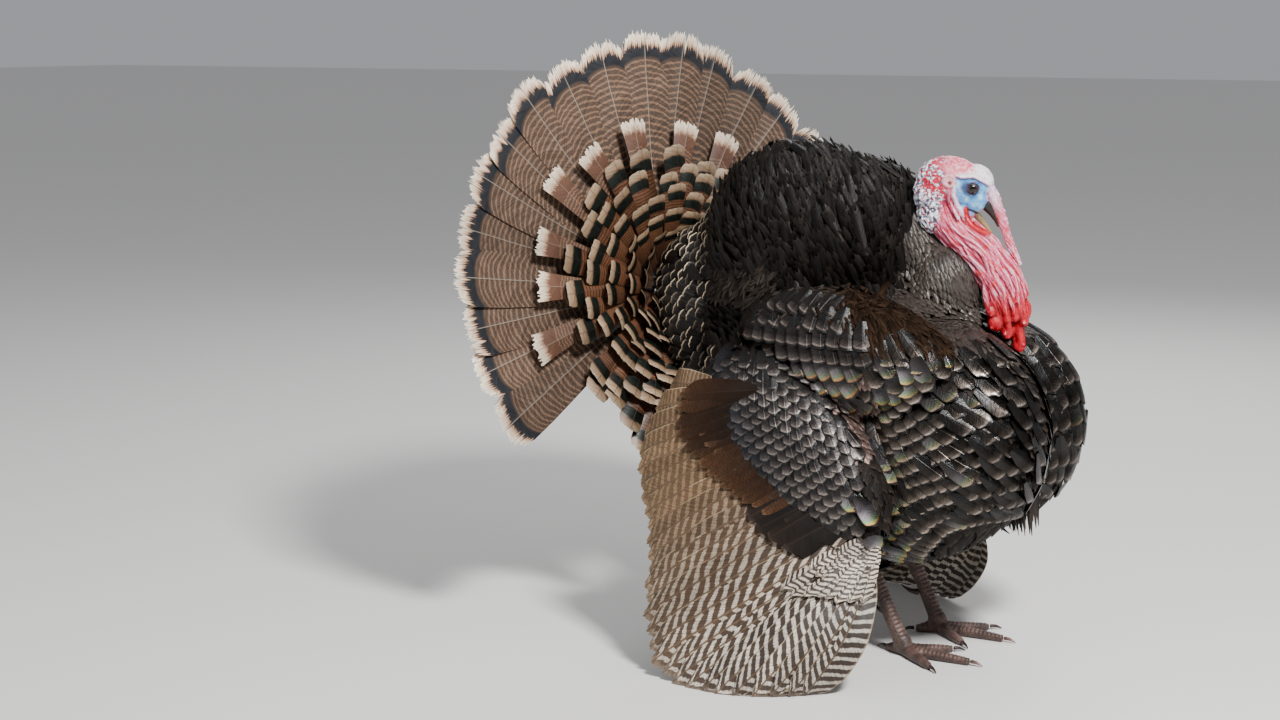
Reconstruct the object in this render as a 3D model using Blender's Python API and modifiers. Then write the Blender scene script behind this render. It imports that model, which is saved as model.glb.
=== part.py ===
"""A strutting tom turkey, life size: tail fanned and tipped to its right, wings drooped to the ground.

Row frame: +X is the way the bird faces, +Y its left, +Z up. The origin is on the ground, under the middle
of the bird's outline. Everything is first modelled with the origin between the two feet, then moved there.
"""

import bmesh
import bpy
from math import cos, pi, radians, sin
from mathutils import Matrix, Vector

# Driving dimensions, in metres and degrees
GAP = 0.0005            # air left between pieces that touch
BEAK_GAP = 0.0014       # air left round the beak's sharp points
FAN_RADIUS = 0.380      # tail base to the tip of the middle tail feathers
FAN_HALF_ANGLE = 103    # the outer edges of the outermost tail feathers, from the fan's middle line
FAN_BASE = (-0.355, -0.003, 0.494)
FAN_FACING = (0.890, -0.410, 0.198)   # the way the fan's front looks
FAN_TOP = (-0.310, -0.228, 0.923)     # along the fan's middle line
FAN_CUP = 0.030         # how far the feather tips curl forward
TAIL_FEATHERS = 18
COVERT_RADIUS = 0.250   # tail base to the tips of the longest feathers in front of the fan
UNDERTAIL_RADIUS = 0.150              # the same behind it
SECONDARIES = 18
PRIMARIES = 10
WING_STEPS = 16         # steps along the wing's trailing edge
HEAD_PLACE = (0.132, 0.0, 0.662)      # between the eyes
THROAT_FLATNESS = 0.80  # width across, as a share of depth
HEAD_TURN = 22          # the head looks this far to the left of the body
EYE_RADIUS = 0.0086
EYE_SPREAD = 0.0175     # eye centre to the head's middle plane
LEFT_WING_TUCK = (0.020, 0.060)       # how far back and in the left wing's tips are held, against the right's
PRIMARY_BOW = 0.040     # how far the outer primaries bow forward
FOOT_SPREAD = 0.066     # each foot's distance from the body's middle plane
TOE_RADIUS = 0.0085
SOLE_DEPTH = 0.0012     # how much of each toe's underside is worn flat
CLAW_LENGTH = 0.019
TRUNK_TRIANGLES = 860   # how finely the biggest form is faceted

COLOURS = {
    "plumage": ((0.035, 0.028, 0.024), 0.45, 0.2),
    "tail_barred": ((0.17, 0.10, 0.07), 0.6, 0.0),
    "wing_barred": ((0.32, 0.28, 0.24), 0.6, 0.0),
    "bare_skin": ((0.72, 0.22, 0.24), 0.45, 0.0),
    "caruncle": ((0.75, 0.05, 0.05), 0.4, 0.0),
    "beak_horn": ((0.10, 0.075, 0.06), 0.4, 0.0),
    "eye_dark": ((0.03, 0.015, 0.01), 0.08, 0.0),
    "scaly_leg": ((0.20, 0.11, 0.09), 0.55, 0.0),
    "claw_horn": ((0.06, 0.04, 0.03), 0.4, 0.0),
}


# ---- objects and materials ----

def material(name):
    found = bpy.data.materials.get(name)
    if found:
        return found
    colour, roughness, metallic = COLOURS[name]
    made = bpy.data.materials.new(name)
    made.use_nodes = True
    shader = made.node_tree.nodes["Principled BSDF"]
    shader.inputs["Base Color"].default_value = (*colour, 1)
    shader.inputs["Roughness"].default_value = roughness
    shader.inputs["Metallic"].default_value = metallic
    return made


def object_from_bmesh(name, mesh_edit):
    mesh = bpy.data.meshes.new(name)
    mesh_edit.to_mesh(mesh)
    mesh_edit.free()
    made = bpy.data.objects.new(name, mesh)
    bpy.context.scene.collection.objects.link(made)
    return made


def baked(item):
    """The object's evaluated mesh, in world space, as a new plain mesh object in its place."""
    bpy.context.view_layer.update()
    graph = bpy.context.evaluated_depsgraph_get()
    mesh = bpy.data.meshes.new_from_object(item.evaluated_get(graph))
    mesh.transform(item.matrix_world)
    name = item.name
    discard(item)
    made = bpy.data.objects.new(name, mesh)
    bpy.context.scene.collection.objects.link(made)
    weld(made)
    return made


def discard(*items):
    for item in items:
        bpy.data.objects.remove(item)


def weld(item, distance=0.00002):
    """Merges what coincides, and leaves only triangles, so that every cut sees the same surface."""
    mesh_edit = bmesh.new()
    mesh_edit.from_mesh(item.data)
    bmesh.ops.remove_doubles(mesh_edit, verts=mesh_edit.verts, dist=distance)
    bmesh.ops.triangulate(mesh_edit, faces=mesh_edit.faces)
    bmesh.ops.recalc_face_normals(mesh_edit, faces=mesh_edit.faces)
    mesh_edit.to_mesh(item.data)
    mesh_edit.free()


def finish(item, name, finish_name):
    item.name = name
    item.data.materials.clear()
    item.data.materials.append(material(finish_name))
    item.data.shade_smooth()
    return item


# ---- shapes ----

def ellipsoid(centre, radii, tilt=0.0):
    """tilt leans the front end down, in degrees about Y."""
    bpy.ops.mesh.primitive_uv_sphere_add(segments=28, ring_count=18, radius=1)
    made = bpy.context.object
    made.data.transform(Matrix.Diagonal((*radii, 1)))
    made.data.transform(Matrix.Rotation(radians(tilt), 4, "Y"))
    made.data.transform(Matrix.Translation(centre))
    return made


def limb(points, radii, sides=3, steps=5):
    """A round tube through these points, as thick as radii says at each."""
    curve = bpy.data.curves.new("limb", "CURVE")
    curve.dimensions = "3D"
    curve.bevel_depth = 1.0
    curve.bevel_resolution = sides
    curve.use_fill_caps = True
    curve.resolution_u = steps
    spline = curve.splines.new("BEZIER")
    spline.bezier_points.add(len(points) - 1)
    for knot, point, radius in zip(spline.bezier_points, points, radii):
        knot.co = point
        knot.radius = radius
        knot.handle_left_type = knot.handle_right_type = "AUTO"
    made = bpy.data.objects.new("limb", curve)
    bpy.context.scene.collection.objects.link(made)
    return baked(made)


def joined(pieces):
    mesh_edit = bmesh.new()
    for piece in pieces:
        mesh_edit.from_mesh(piece.data)
    discard(*pieces)
    return object_from_bmesh("joined", mesh_edit)


def melted(pieces, voxel, smoothing, triangles):
    """The pieces run together into one soft closed form of about this many triangles."""
    whole = joined(pieces)
    remesh = whole.modifiers.new("remesh", "REMESH")
    remesh.mode = "VOXEL"
    remesh.voxel_size = voxel
    smooth = whole.modifiers.new("smooth", "SMOOTH")
    smooth.factor = 0.5
    smooth.iterations = smoothing
    whole = baked(whole)
    whole.data.calc_loop_triangles()
    decimate = whole.modifiers.new("decimate", "DECIMATE")
    decimate.ratio = min(1.0, triangles / len(whole.data.loop_triangles))
    return baked(whole)


def sheet(columns, rows, place, thickness):
    """A curved sheet of this thickness through place(across, along), both from 0 to 1."""
    mesh_edit = bmesh.new()
    grid = [
        [mesh_edit.verts.new(place(i / columns, j / rows)) for j in range(rows + 1)]
        for i in range(columns + 1)
    ]
    for i in range(columns):
        for j in range(rows):
            mesh_edit.faces.new((grid[i][j], grid[i + 1][j], grid[i + 1][j + 1], grid[i][j + 1]))
    made = object_from_bmesh("sheet", mesh_edit)
    solidify = made.modifiers.new("solidify", "SOLIDIFY")
    solidify.thickness = thickness
    solidify.offset = 0
    return baked(made)


def duplicate(item):
    copy = item.copy()
    copy.data = item.data.copy()
    bpy.context.scene.collection.objects.link(copy)
    return copy


def inflated(item, by):
    """A copy that stands this far outside the object, as a cutter."""
    cutter = duplicate(item)
    for vertex, normal in zip(cutter.data.vertices, [v.normal.copy() for v in item.data.vertices]):
        vertex.co += by * normal
    return cutter


def largest_body(item):
    """Drops the crumbs that a cut can leave, and keeps the biggest closed body."""
    mesh_edit = bmesh.new()
    mesh_edit.from_mesh(item.data)
    unseen = set(mesh_edit.verts)
    bodies = []
    while unseen:
        front = [unseen.pop()]
        body = list(front)
        while front:
            near = [e.other_vert(v) for v in front for e in v.link_edges]
            front = [v for v in dict.fromkeys(near) if v in unseen]
            unseen.difference_update(front)
            body.extend(front)
        bodies.append(body)
    bodies.sort(key=len)
    for body in bodies[:-1]:
        bmesh.ops.delete(mesh_edit, geom=body, context="VERTS")
    mesh_edit.to_mesh(item.data)
    mesh_edit.free()


def fitted(item, neighbours, gap):
    """The object with room cut in it for its neighbours, and a thin gap all round them."""
    cutters = [inflated(n, gap) for n in neighbours]
    for cutter in cutters:
        cut = item.modifiers.new("cut", "BOOLEAN")
        cut.operation = "DIFFERENCE"
        cut.solver = "EXACT"
        cut.object = cutter
    made = baked(item)
    discard(*cutters)
    largest_body(made)
    return made


def cut_level(item, height):
    """Takes off what is below this height, and leaves a flat there."""
    mesh_edit = bmesh.new()
    mesh_edit.from_mesh(item.data)
    bmesh.ops.bisect_plane(
        mesh_edit,
        geom=mesh_edit.verts[:] + mesh_edit.edges[:] + mesh_edit.faces[:],
        plane_co=(0, 0, height),
        plane_no=(0, 0, -1),
        clear_outer=True,
    )
    bmesh.ops.holes_fill(mesh_edit, edges=[e for e in mesh_edit.edges if e.is_boundary])
    bmesh.ops.triangulate(mesh_edit, faces=mesh_edit.faces)
    mesh_edit.to_mesh(item.data)
    mesh_edit.free()
    return item


def spline_point(points, t):
    """A smooth path through the points, t from 0 to 1."""
    points = [Vector(p) for p in points]
    place = t * (len(points) - 1)
    i = min(int(place), len(points) - 2)
    u = place - i
    before = points[max(i - 1, 0)]
    after = points[min(i + 2, len(points) - 1)]
    a, b = points[i], points[i + 1]
    return 0.5 * (
        2 * a
        + (b - before) * u
        + (2 * before - 5 * a + 4 * b - after) * u * u
        + (3 * a - before - 3 * b + after) * u ** 3
    )


# ---- trunk, neck and thighs ----

def mirrored_pairs(shapes):
    """Each (centre, radii, tilt) on the right side, and again on the left."""
    return [
        ellipsoid((x, side * y, z), radii, tilt)
        for (x, y, z), radii, tilt in shapes
        for side in (-1, 1)
    ]


def trunk():
    middle = [
        ellipsoid((-0.04, 0, 0.37), (0.235, 0.165, 0.185)),             # ribcage and back
        ellipsoid((0.085, 0, 0.380), (0.11, 0.11, 0.09)),               # crop
        ellipsoid((0.00, 0, 0.235), (0.155, 0.12, 0.120)),              # belly
        ellipsoid((-0.12, 0, 0.535), (0.165, 0.13, 0.182), tilt=-8),    # raised back feathers
        ellipsoid((-0.02, 0, 0.57), (0.085, 0.105, 0.125)),             # raised mantle
        ellipsoid((-0.275, 0, 0.475), (0.085, 0.095, 0.125)),           # rump
    ]
    sides = mirrored_pairs([
        ((0.128, 0.071, 0.325), (0.150, 0.105, 0.158), 4),              # breast lobes
        ((0.095, 0.075, 0.240), (0.125, 0.090, 0.098), -14),            # lower breast
    ])
    return melted(middle + sides, voxel=0.012, smoothing=5, triangles=TRUNK_TRIANGLES)


def neck():
    bulge = [
        ellipsoid((0.088, 0, 0.512), (0.062, 0.058, 0.078)),
        ellipsoid((0.040, 0, 0.575), (0.052, 0.056, 0.070)),
        ellipsoid((0.005, 0, 0.625), (0.045, 0.050, 0.050)),
        ellipsoid((0.110, 0, 0.455), (0.058, 0.058, 0.045)),
    ]
    return melted(bulge, voxel=0.008, smoothing=6, triangles=260)


def thigh(side):
    shape = limb(
        [(0.0, side * 0.075, 0.215), (0.012, side * 0.072, 0.165), (0.020, side * FOOT_SPREAD, 0.120)],
        [0.068, 0.058, 0.032],
    )
    return melted([shape], voxel=0.006, smoothing=4, triangles=180)


# ---- head, in its own frame: p forward, q left, r up, from between the eyes ----

def head_matrix():
    return Matrix.Translation(HEAD_PLACE) @ Matrix.Rotation(radians(HEAD_TURN), 4, "Z")


def in_head(item):
    item.data.transform(head_matrix())
    return item


def head():
    shape = [
        ellipsoid((-0.030, 0, 0.005), (0.050, 0.0245, 0.039), tilt=12),     # skull and nape
        ellipsoid((-0.054, 0, -0.016), (0.025, 0.0225, 0.036), tilt=-28),   # caruncled nape
        ellipsoid((0.004, 0, 0.008), (0.026, 0.0185, 0.025), tilt=40),      # forehead
        ellipsoid((0.001, 0, -0.014), (0.023, 0.0170, 0.025), tilt=52),     # face
        ellipsoid((-0.022, 0, -0.030), (0.030, 0.0195, 0.026), tilt=45),    # jaw
    ]
    return in_head(melted(shape, voxel=0.003, smoothing=4, triangles=320))


def throat():
    axis = [(-0.042, 0, -0.040), (-0.021, 0, -0.058), (0.007, 0, -0.083), (0.026, 0, -0.106),
            (0.044, 0, -0.132), (0.055, 0, -0.160)]
    column = limb(axis, [0.030, 0.032, 0.032, 0.033, 0.034, 0.033], steps=3)
    column.data.transform(Matrix.Diagonal((1, THROAT_FLATNESS, 1, 1)))
    return in_head(melted([column], voxel=0.004, smoothing=4, triangles=220))


def wattle():
    """The big red caruncles where the throat meets the breast."""
    lumps = [
        ((0.034, -0.014, -0.190), 0.0145),
        ((0.034, 0.014, -0.188), 0.0145),
        ((0.042, 0.000, -0.172), 0.0230),
        ((0.066, 0.000, -0.172), 0.0225),
        ((0.053, -0.010, -0.202), 0.0110),
        ((0.054, 0.010, -0.200), 0.0110),
        ((0.067, 0.000, -0.203), 0.0110),
        ((0.069, -0.002, -0.221), 0.0115),
    ]
    balls = [ellipsoid(place, (size, size, size)) for place, size in lumps]
    return in_head(melted(balls, voxel=0.003, smoothing=2, triangles=290))


def snood():
    path = [(0.018, 0, 0.010), (0.0265, -0.001, -0.006), (0.0385, -0.004, -0.034), (0.0475, -0.004, -0.062),
            (0.0575, -0.002, -0.086), (0.0680, 0, -0.106)]
    return in_head(melted([limb(path, [0.0090, 0.0088, 0.0070, 0.0056, 0.0046, 0.0026])], 0.0018, 1, 130))


def beak(upper):
    if upper:
        path = [(0.010, 0, -0.015), (0.0230, 0, -0.0260), (0.0325, 0, -0.0395), (0.0368, 0, -0.0545)]
        sizes = [0.0105, 0.0092, 0.0065, 0.0020]
    else:
        path = [(-0.006, 0, -0.0290), (0.0075, 0, -0.0390), (0.0180, 0, -0.0510), (0.0272, 0, -0.0630)]
        sizes = [0.0055, 0.0050, 0.0041, 0.0018]
    shape = limb(path, sizes)
    shape.data.transform(Matrix.Diagonal((1, 0.85, 1, 1)))
    return in_head(melted([shape], 0.0013, 1, 150 if upper else 110))


def eye(side):
    ball = ellipsoid((0, side * EYE_SPREAD, 0), (EYE_RADIUS, EYE_RADIUS * 0.72, EYE_RADIUS))
    weld(ball)
    decimate = ball.modifiers.new("decimate", "DECIMATE")
    decimate.ratio = 0.11
    return in_head(baked(ball))


# ---- tail fan, in its own frame ----

def fan_place(angle, radius, forward):
    """angle from the fan's middle line, in radians and positive to the bird's right; forward off its plane."""
    facing = Vector(FAN_FACING).normalized()
    top = Vector(FAN_TOP)
    top = (top - facing * top.dot(facing)).normalized()
    right = facing.cross(top)
    spread = top * cos(angle) + right * sin(angle)
    return Vector(FAN_BASE) + spread * radius + facing * forward


def scalloped(across, feathers, depth=0.045):
    """How far out the edge reaches at this place across the fan, as a share: rounded at each feather."""
    place = (across * feathers) % 1.0
    return 1 - depth * (2 * abs(place - 0.5)) ** 2.2


def tail_fan():
    """All the tail feathers as one sheet, cupped forward at the tips."""
    inner = 0.02

    def place(across, along):
        angle = radians(FAN_HALF_ANGLE) * (2 * across - 1)
        middle_share = 1 - 0.02 * abs(2 * across - 1) ** 3
        outer = FAN_RADIUS * middle_share * scalloped(across, TAIL_FEATHERS)
        reach = inner + (outer - inner) * along
        share = reach / FAN_RADIUS
        return fan_place(angle, reach, FAN_CUP * share * share)
    return sheet(TAIL_FEATHERS * 2, 3, place, 0.004)


def covert_dome(radius, depth, lobes, half_angle):
    """Layered coverts as one low dome against the fan, with a lobed rim. A negative depth is behind it."""
    inner = 0.012
    clear_of_fan = 0.010 if depth > 0 else -0.010

    def place(across, along):
        angle = radians(half_angle) * (2 * across - 1)
        reach = inner + (radius * scalloped(across, lobes) - inner) * along
        share = reach / FAN_RADIUS
        rise = clear_of_fan + FAN_CUP * share * share + depth * (1 - along) ** 0.8
        return fan_place(angle, reach, rise)
    return sheet(lobes * 2, 2, place, 0.006)


# ---- wings: the bird's right side is -1, its left side 1 ----

ELBOW = (-0.150, 0.205, 0.395)
WRIST = (0.070, 0.212, 0.200)
FINGER = (0.082, 0.205, 0.172)
WING_OUTLINE = [        # feather tips from the innermost secondary to the outermost primary
    (-0.208, 0.222, 0.400), (-0.250, 0.240, 0.305), (-0.244, 0.252, 0.245), (-0.228, 0.265, 0.190),
    (-0.216, 0.280, 0.138), (-0.214, 0.298, 0.085), (-0.198, 0.318, 0.028), (-0.150, 0.335, -0.002),
    (-0.085, 0.342, -0.003), (-0.025, 0.322, -0.003), (0.020, 0.284, -0.001),
]


def wing_side(point, side):
    x, y, z = point
    if side > 0:
        tuck = 1 - z / ELBOW[2]
        x -= LEFT_WING_TUCK[0] * tuck
        y -= LEFT_WING_TUCK[1] * tuck
    return Vector((x, side * y, z))


def wing_root(across, side):
    elbow, wrist, finger = (wing_side(p, side) for p in (ELBOW, WRIST, FINGER))
    hand = SECONDARIES / (SECONDARIES + PRIMARIES)
    if across < hand:
        return elbow.lerp(wrist, across / hand)
    return wrist.lerp(finger, (across - hand) / (1 - hand))


def flight_sheet(side):
    """All the secondaries and primaries of a wing as one cambered sheet with a stepped edge."""
    def place(across, along):
        root = wing_root(across, side)
        tip = spline_point([wing_side(p, side) for p in WING_OUTLINE], across)
        reach = along * scalloped(across, WING_STEPS, 0.03)
        bulge = sin(pi * reach * 0.85)
        camber = Vector((0, side, 0)) * 0.030 * bulge
        bow = Vector((1, 0, 0)) * PRIMARY_BOW * across ** 4 * bulge
        return root.lerp(tip, reach) + camber + bow
    return cut_level(sheet(WING_STEPS * 2, 3, place, 0.005), 0.0)


def wing_arm(side):
    along = Vector(WRIST) - Vector(ELBOW)
    middle = (Vector(WRIST) + Vector(ELBOW)) / 2
    slope = 41.5        # degrees that the folded arm runs down toward the wrist
    shape = [
        ellipsoid((middle.x - 0.004, side * 0.188, middle.z + 0.004), (along.length * 0.60, 0.056, 0.098),
                  tilt=slope),
        ellipsoid((middle.x - 0.050, side * 0.190, middle.z + 0.020), (along.length * 0.42, 0.052, 0.082),
                  tilt=slope),
    ]
    return melted(shape, voxel=0.008, smoothing=4, triangles=240)


def shoulder(side):
    shape = [
        ellipsoid((0.018, side * 0.142, 0.440), (0.155, 0.066, 0.085), tilt=10),
        ellipsoid((-0.050, side * 0.135, 0.445), (0.105, 0.062, 0.075), tilt=4),
    ]
    return melted(shape, voxel=0.008, smoothing=4, triangles=200)


# ---- feet ----

TOES = {                # ground angle from straight ahead, length: middle, inner, outer and hind toe
    "middle": (0, 0.098),
    "inner": (42, 0.072),
    "outer": (-40, 0.076),
    "hind": (158, 0.036),
}
FOOT_X = 0.072


def foot_path(side, toe):
    angle, length = TOES[toe]
    direction = Vector((cos(radians(angle)), -side * sin(radians(angle)), 0))
    hub = Vector((FOOT_X, side * FOOT_SPREAD, 0.016))
    return hub, direction, length


def foot(side):
    """Tarsus and toes as one piece. The soles are flat at ground level."""
    hock = Vector((0.018, side * (FOOT_SPREAD + 0.002), 0.122))
    knuckle = Vector((FOOT_X - 0.004, side * FOOT_SPREAD, 0.020))
    leg = limb([hock, hock.lerp(knuckle, 0.45), knuckle], [0.0140, 0.0104, 0.0120])
    pieces = [leg, ellipsoid(knuckle, (0.014, 0.0135, 0.012)), ellipsoid(hock, (0.0145, 0.012, 0.016))]
    for toe in TOES:
        hub, direction, length = foot_path(side, toe)
        end = hub + direction * length
        points = [hub, hub + direction * length * 0.5, end]
        radii = [TOE_RADIUS * 1.12, TOE_RADIUS * 0.95, TOE_RADIUS * 0.74]
        for point, radius in zip(points, radii):
            point.z = radius - SOLE_DEPTH
        pieces.append(limb(points, radii))
    return cut_level(melted(pieces, voxel=0.0032, smoothing=2, triangles=340), 0.0)


def claw(side, toe):
    hub, direction, length = foot_path(side, toe)
    start = hub + direction * (length + 0.001)
    start.z = TOE_RADIUS * 0.70
    mid = start + direction * CLAW_LENGTH * 0.5
    end = start + direction * CLAW_LENGTH
    mid.z = TOE_RADIUS * 0.66
    end.z = 0.0016
    return limb([start, mid, end], [0.0042, 0.0032, 0.0010], sides=0, steps=2)


def spur(side):
    base = Vector((0.040, side * (FOOT_SPREAD - 0.004), 0.058))
    mid = base + Vector((-0.013, -side * 0.005, 0.002))
    end = base + Vector((-0.026, -side * 0.008, 0.010))
    return limb([base, mid, end], [0.0062, 0.0042, 0.0010], sides=0, steps=2)


def beard():
    path = [(0.185, 0, 0.345), (0.222, 0, 0.300), (0.222, 0, 0.240), (0.200, 0, 0.180)]
    return melted([limb(path, [0.008, 0.010, 0.011, 0.006])], voxel=0.003, smoothing=2, triangles=140)


# ---- assembly ----

def shapes():
    """Every piece whole: name, surface, shape, and the pieces that it makes room for."""
    yield "trunk", "plumage", trunk(), []
    yield "neck", "plumage", neck(), ["trunk"]
    yield "eye_right", "eye_dark", eye(-1), []
    yield "eye_left", "eye_dark", eye(1), []
    yield "beak_upper", "beak_horn", beak(upper=True), []
    yield "beak_lower", "beak_horn", beak(upper=False), []
    yield "head", "bare_skin", head(), ["neck", "trunk", "eye_right", "eye_left", "beak_upper", "beak_lower"]
    yield "wattle", "caruncle", wattle(), ["neck", "trunk"]
    yield "throat", "bare_skin", throat(), ["beak_upper", "beak_lower", "head", "neck", "trunk", "wattle"]
    yield "snood", "bare_skin", snood(), ["beak_upper", "head", "throat"]
    yield "tail", "tail_barred", tail_fan(), ["trunk"]
    yield "tail_coverts", "tail_barred", covert_dome(COVERT_RADIUS, 0.070, 13, 103), ["tail", "trunk"]
    yield "undertail_coverts", "tail_barred", covert_dome(UNDERTAIL_RADIUS, -0.045, 9, 96), ["tail", "trunk"]
    yield "beard", "plumage", beard(), ["trunk"]
    for word, side in (("right", -1), ("left", 1)):
        thigh_name, foot_name, shoulder_name = f"thigh_{word}", f"foot_{word}", f"shoulder_{word}"
        yield thigh_name, "plumage", thigh(side), ["trunk"]
        yield foot_name, "scaly_leg", foot(side), [thigh_name, "trunk"]
        for toe in TOES:
            yield f"claw_{toe}_{word}", "claw_horn", claw(side, toe), [foot_name]
        yield f"spur_{word}", "claw_horn", spur(side), [foot_name]
        yield shoulder_name, "plumage", shoulder(side), ["trunk"]
        yield f"wing_{word}", "plumage", wing_arm(side), ["trunk", shoulder_name]
        room_for = [f"wing_{word}", "trunk", shoulder_name, thigh_name]
        yield f"flight_feathers_{word}", "wing_barred", flight_sheet(side), room_for


def build():
    whole, parts = {}, {}
    for name, surface, shape, room_for in shapes():
        whole[name] = shape
        item = duplicate(shape)
        gap = BEAK_GAP if "beak_upper" in room_for else GAP
        if room_for:
            item = fitted(item, [whole[other] for other in room_for], gap)
        parts[name] = finish(item, name, surface)
    discard(*whole.values())
    return parts


def centre_on_origin(parts):
    """Puts the origin on the ground, under the middle of the outline."""
    corners = [part.matrix_world @ v.co for part in parts.values() for v in part.data.vertices]
    low = Vector(min(c[i] for c in corners) for i in range(3))
    high = Vector(max(c[i] for c in corners) for i in range(3))
    shift = Matrix.Translation((-(low.x + high.x) / 2, -(low.y + high.y) / 2, -low.z))
    for part in parts.values():
        part.data.transform(shift)
    return shift.translation


for leftover in list(bpy.data.objects):
    bpy.data.objects.remove(leftover)
turkey = build()
moved = centre_on_origin(turkey)
group = bpy.data.collections.new("turkey")
bpy.context.scene.collection.children.link(group)
for part in turkey.values():
    for home in list(part.users_collection):
        home.objects.unlink(part)
    group.objects.link(part)
print("moved by", [round(v, 4) for v in moved], "from the point between the feet")
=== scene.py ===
import bmesh
import bpy
import numpy as np
from math import atan2, cos, pi, radians, sin, sqrt
from mathutils import Matrix, Vector
from mathutils.bvhtree import BVHTree
from mathutils.noise import noise


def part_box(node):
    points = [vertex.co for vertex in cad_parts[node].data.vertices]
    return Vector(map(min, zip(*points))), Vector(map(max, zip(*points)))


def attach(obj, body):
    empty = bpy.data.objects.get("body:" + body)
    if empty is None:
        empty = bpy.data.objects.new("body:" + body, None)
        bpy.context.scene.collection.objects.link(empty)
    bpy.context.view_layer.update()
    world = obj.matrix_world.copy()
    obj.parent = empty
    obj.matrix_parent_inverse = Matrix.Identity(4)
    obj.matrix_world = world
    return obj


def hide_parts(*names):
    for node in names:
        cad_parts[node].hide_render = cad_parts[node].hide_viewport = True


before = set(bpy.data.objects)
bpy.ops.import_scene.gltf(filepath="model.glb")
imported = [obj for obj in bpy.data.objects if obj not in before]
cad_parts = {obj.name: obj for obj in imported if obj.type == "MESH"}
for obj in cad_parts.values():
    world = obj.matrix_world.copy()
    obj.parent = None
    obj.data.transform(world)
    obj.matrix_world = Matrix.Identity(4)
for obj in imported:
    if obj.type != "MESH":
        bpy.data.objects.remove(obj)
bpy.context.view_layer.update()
print("frame loaded")

# Places: x forward, y left, z up, all measured from the eyes and the ground.
def boxMiddle(nodeName):
    low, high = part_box(nodeName)
    return (low + high) / 2


eyeLine = boxMiddle("eye_left") - boxMiddle("eye_right")
eyeMiddle = (boxMiddle("eye_right") + boxMiddle("eye_left")) / 2
headTurn = atan2(eyeLine.y, eyeLine.x) - pi / 2
headMatrix = Matrix.Translation(eyeMiddle) @ Matrix.Rotation(headTurn, 4, "Z")
standPoint = eyeMiddle - Vector((0.132, 0, 0.662))      # on the ground between the feet
sides = (("right", -1), ("left", 1))


def bodyPoint(x, y, z):
    return standPoint + Vector((x, y, z))


# Small helpers for meshes

def objectFrom(name, mesh):
    made = bpy.data.objects.new(name, mesh)
    bpy.context.scene.collection.objects.link(made)
    return made


def settled(item):
    # the object's mesh with its modifiers applied, in a new object of the same name
    bpy.context.view_layer.update()
    graph = bpy.context.evaluated_depsgraph_get()
    mesh = bpy.data.meshes.new_from_object(item.evaluated_get(graph), preserve_all_data_layers=True,
                                           depsgraph=graph)
    name = item.name
    bpy.data.objects.remove(item)
    mesh.name = name
    return objectFrom(name, mesh)


def mergedCopy(name, nodeNames):
    shape = bmesh.new()
    for nodeName in nodeNames:
        shape.from_mesh(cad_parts[nodeName].data)
    bmesh.ops.remove_doubles(shape, verts=shape.verts, dist=0.00001)
    mesh = bpy.data.meshes.new(name)
    shape.to_mesh(mesh)
    shape.free()
    return objectFrom(name, mesh)


def melted(item, voxel, smoothing):
    remesh = item.modifiers.new("melt", "REMESH")
    remesh.mode = "VOXEL"
    remesh.voxel_size = voxel
    smooth = item.modifiers.new("smooth", "SMOOTH")
    smooth.factor = 0.5
    smooth.iterations = smoothing
    return settled(item)


def pathPoint(points, t):
    # a smooth path through the points, t from 0 to 1
    place = min(max(t, 0.0), 1.0) * (len(points) - 1)
    i = min(int(place), len(points) - 2)
    u = place - i
    a, b = Vector(points[i]), Vector(points[i + 1])
    before = Vector(points[max(i - 1, 0)])
    after = Vector(points[min(i + 2, len(points) - 1)])
    bend = (2 * before - 5 * a + 4 * b - after) * u * u + (3 * a - before - 3 * b + after) * u ** 3
    return 0.5 * (2 * a + (b - before) * u + bend)


def addBall(shape, centre, radii, tilt=0.0, detail=3):
    place = Matrix.Translation(centre) @ Matrix.Rotation(radians(tilt), 4, "Y")
    size = Matrix.Diagonal((*radii, 1))
    bmesh.ops.create_icosphere(shape, subdivisions=detail, radius=1, matrix=place @ size)


def addTube(shape, points, radii, sides=10, steps=6):
    count = (len(points) - 1) * steps + 1
    spine = [pathPoint(points, k / (count - 1)) for k in range(count)]
    girth = np.interp(np.linspace(0, 1, count), np.linspace(0, 1, len(radii)), radii)
    rings = []
    across = Vector((0, 1, 0))
    for k in range(count):
        along = (spine[min(k + 1, count - 1)] - spine[max(k - 1, 0)]).normalized()
        across = (across - along * across.dot(along)).normalized()
        other = along.cross(across)
        turns = [2 * pi * n / sides for n in range(sides)]
        rings.append([shape.verts.new(spine[k] + (across * cos(a) + other * sin(a)) * girth[k])
                      for a in turns])
    for low, high in zip(rings, rings[1:]):
        for n in range(sides):
            m = (n + 1) % sides
            shape.faces.new((low[n], low[m], high[m], high[n]))
    shape.faces.new(reversed(rings[0]))
    shape.faces.new(rings[-1])


def objectOf(shape, name):
    mesh = bpy.data.meshes.new(name)
    shape.to_mesh(mesh)
    shape.free()
    return objectFrom(name, mesh)


def writeFloats(mesh, name, values, domain="POINT"):
    attribute = mesh.attributes.new(name, "FLOAT", domain)
    attribute.data.foreach_set("value", np.asarray(values, np.float32).ravel())


def vertexArray(mesh):
    places = np.empty(len(mesh.vertices) * 3, np.float32)
    mesh.vertices.foreach_get("co", places)
    return places.reshape(-1, 3).astype(float)


def normalArray(mesh):
    normals = np.empty(len(mesh.vertices) * 3, np.float32)
    mesh.vertex_normals.foreach_get("vector", normals)
    return normals.reshape(-1, 3).astype(float)


def movePlaces(mesh, places):
    mesh.vertices.foreach_set("co", places.astype(np.float32).ravel())
    mesh.update()


def treeOf(item):
    return BVHTree.FromPolygons([v.co for v in item.data.vertices], [p.vertices for p in item.data.polygons])


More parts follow.
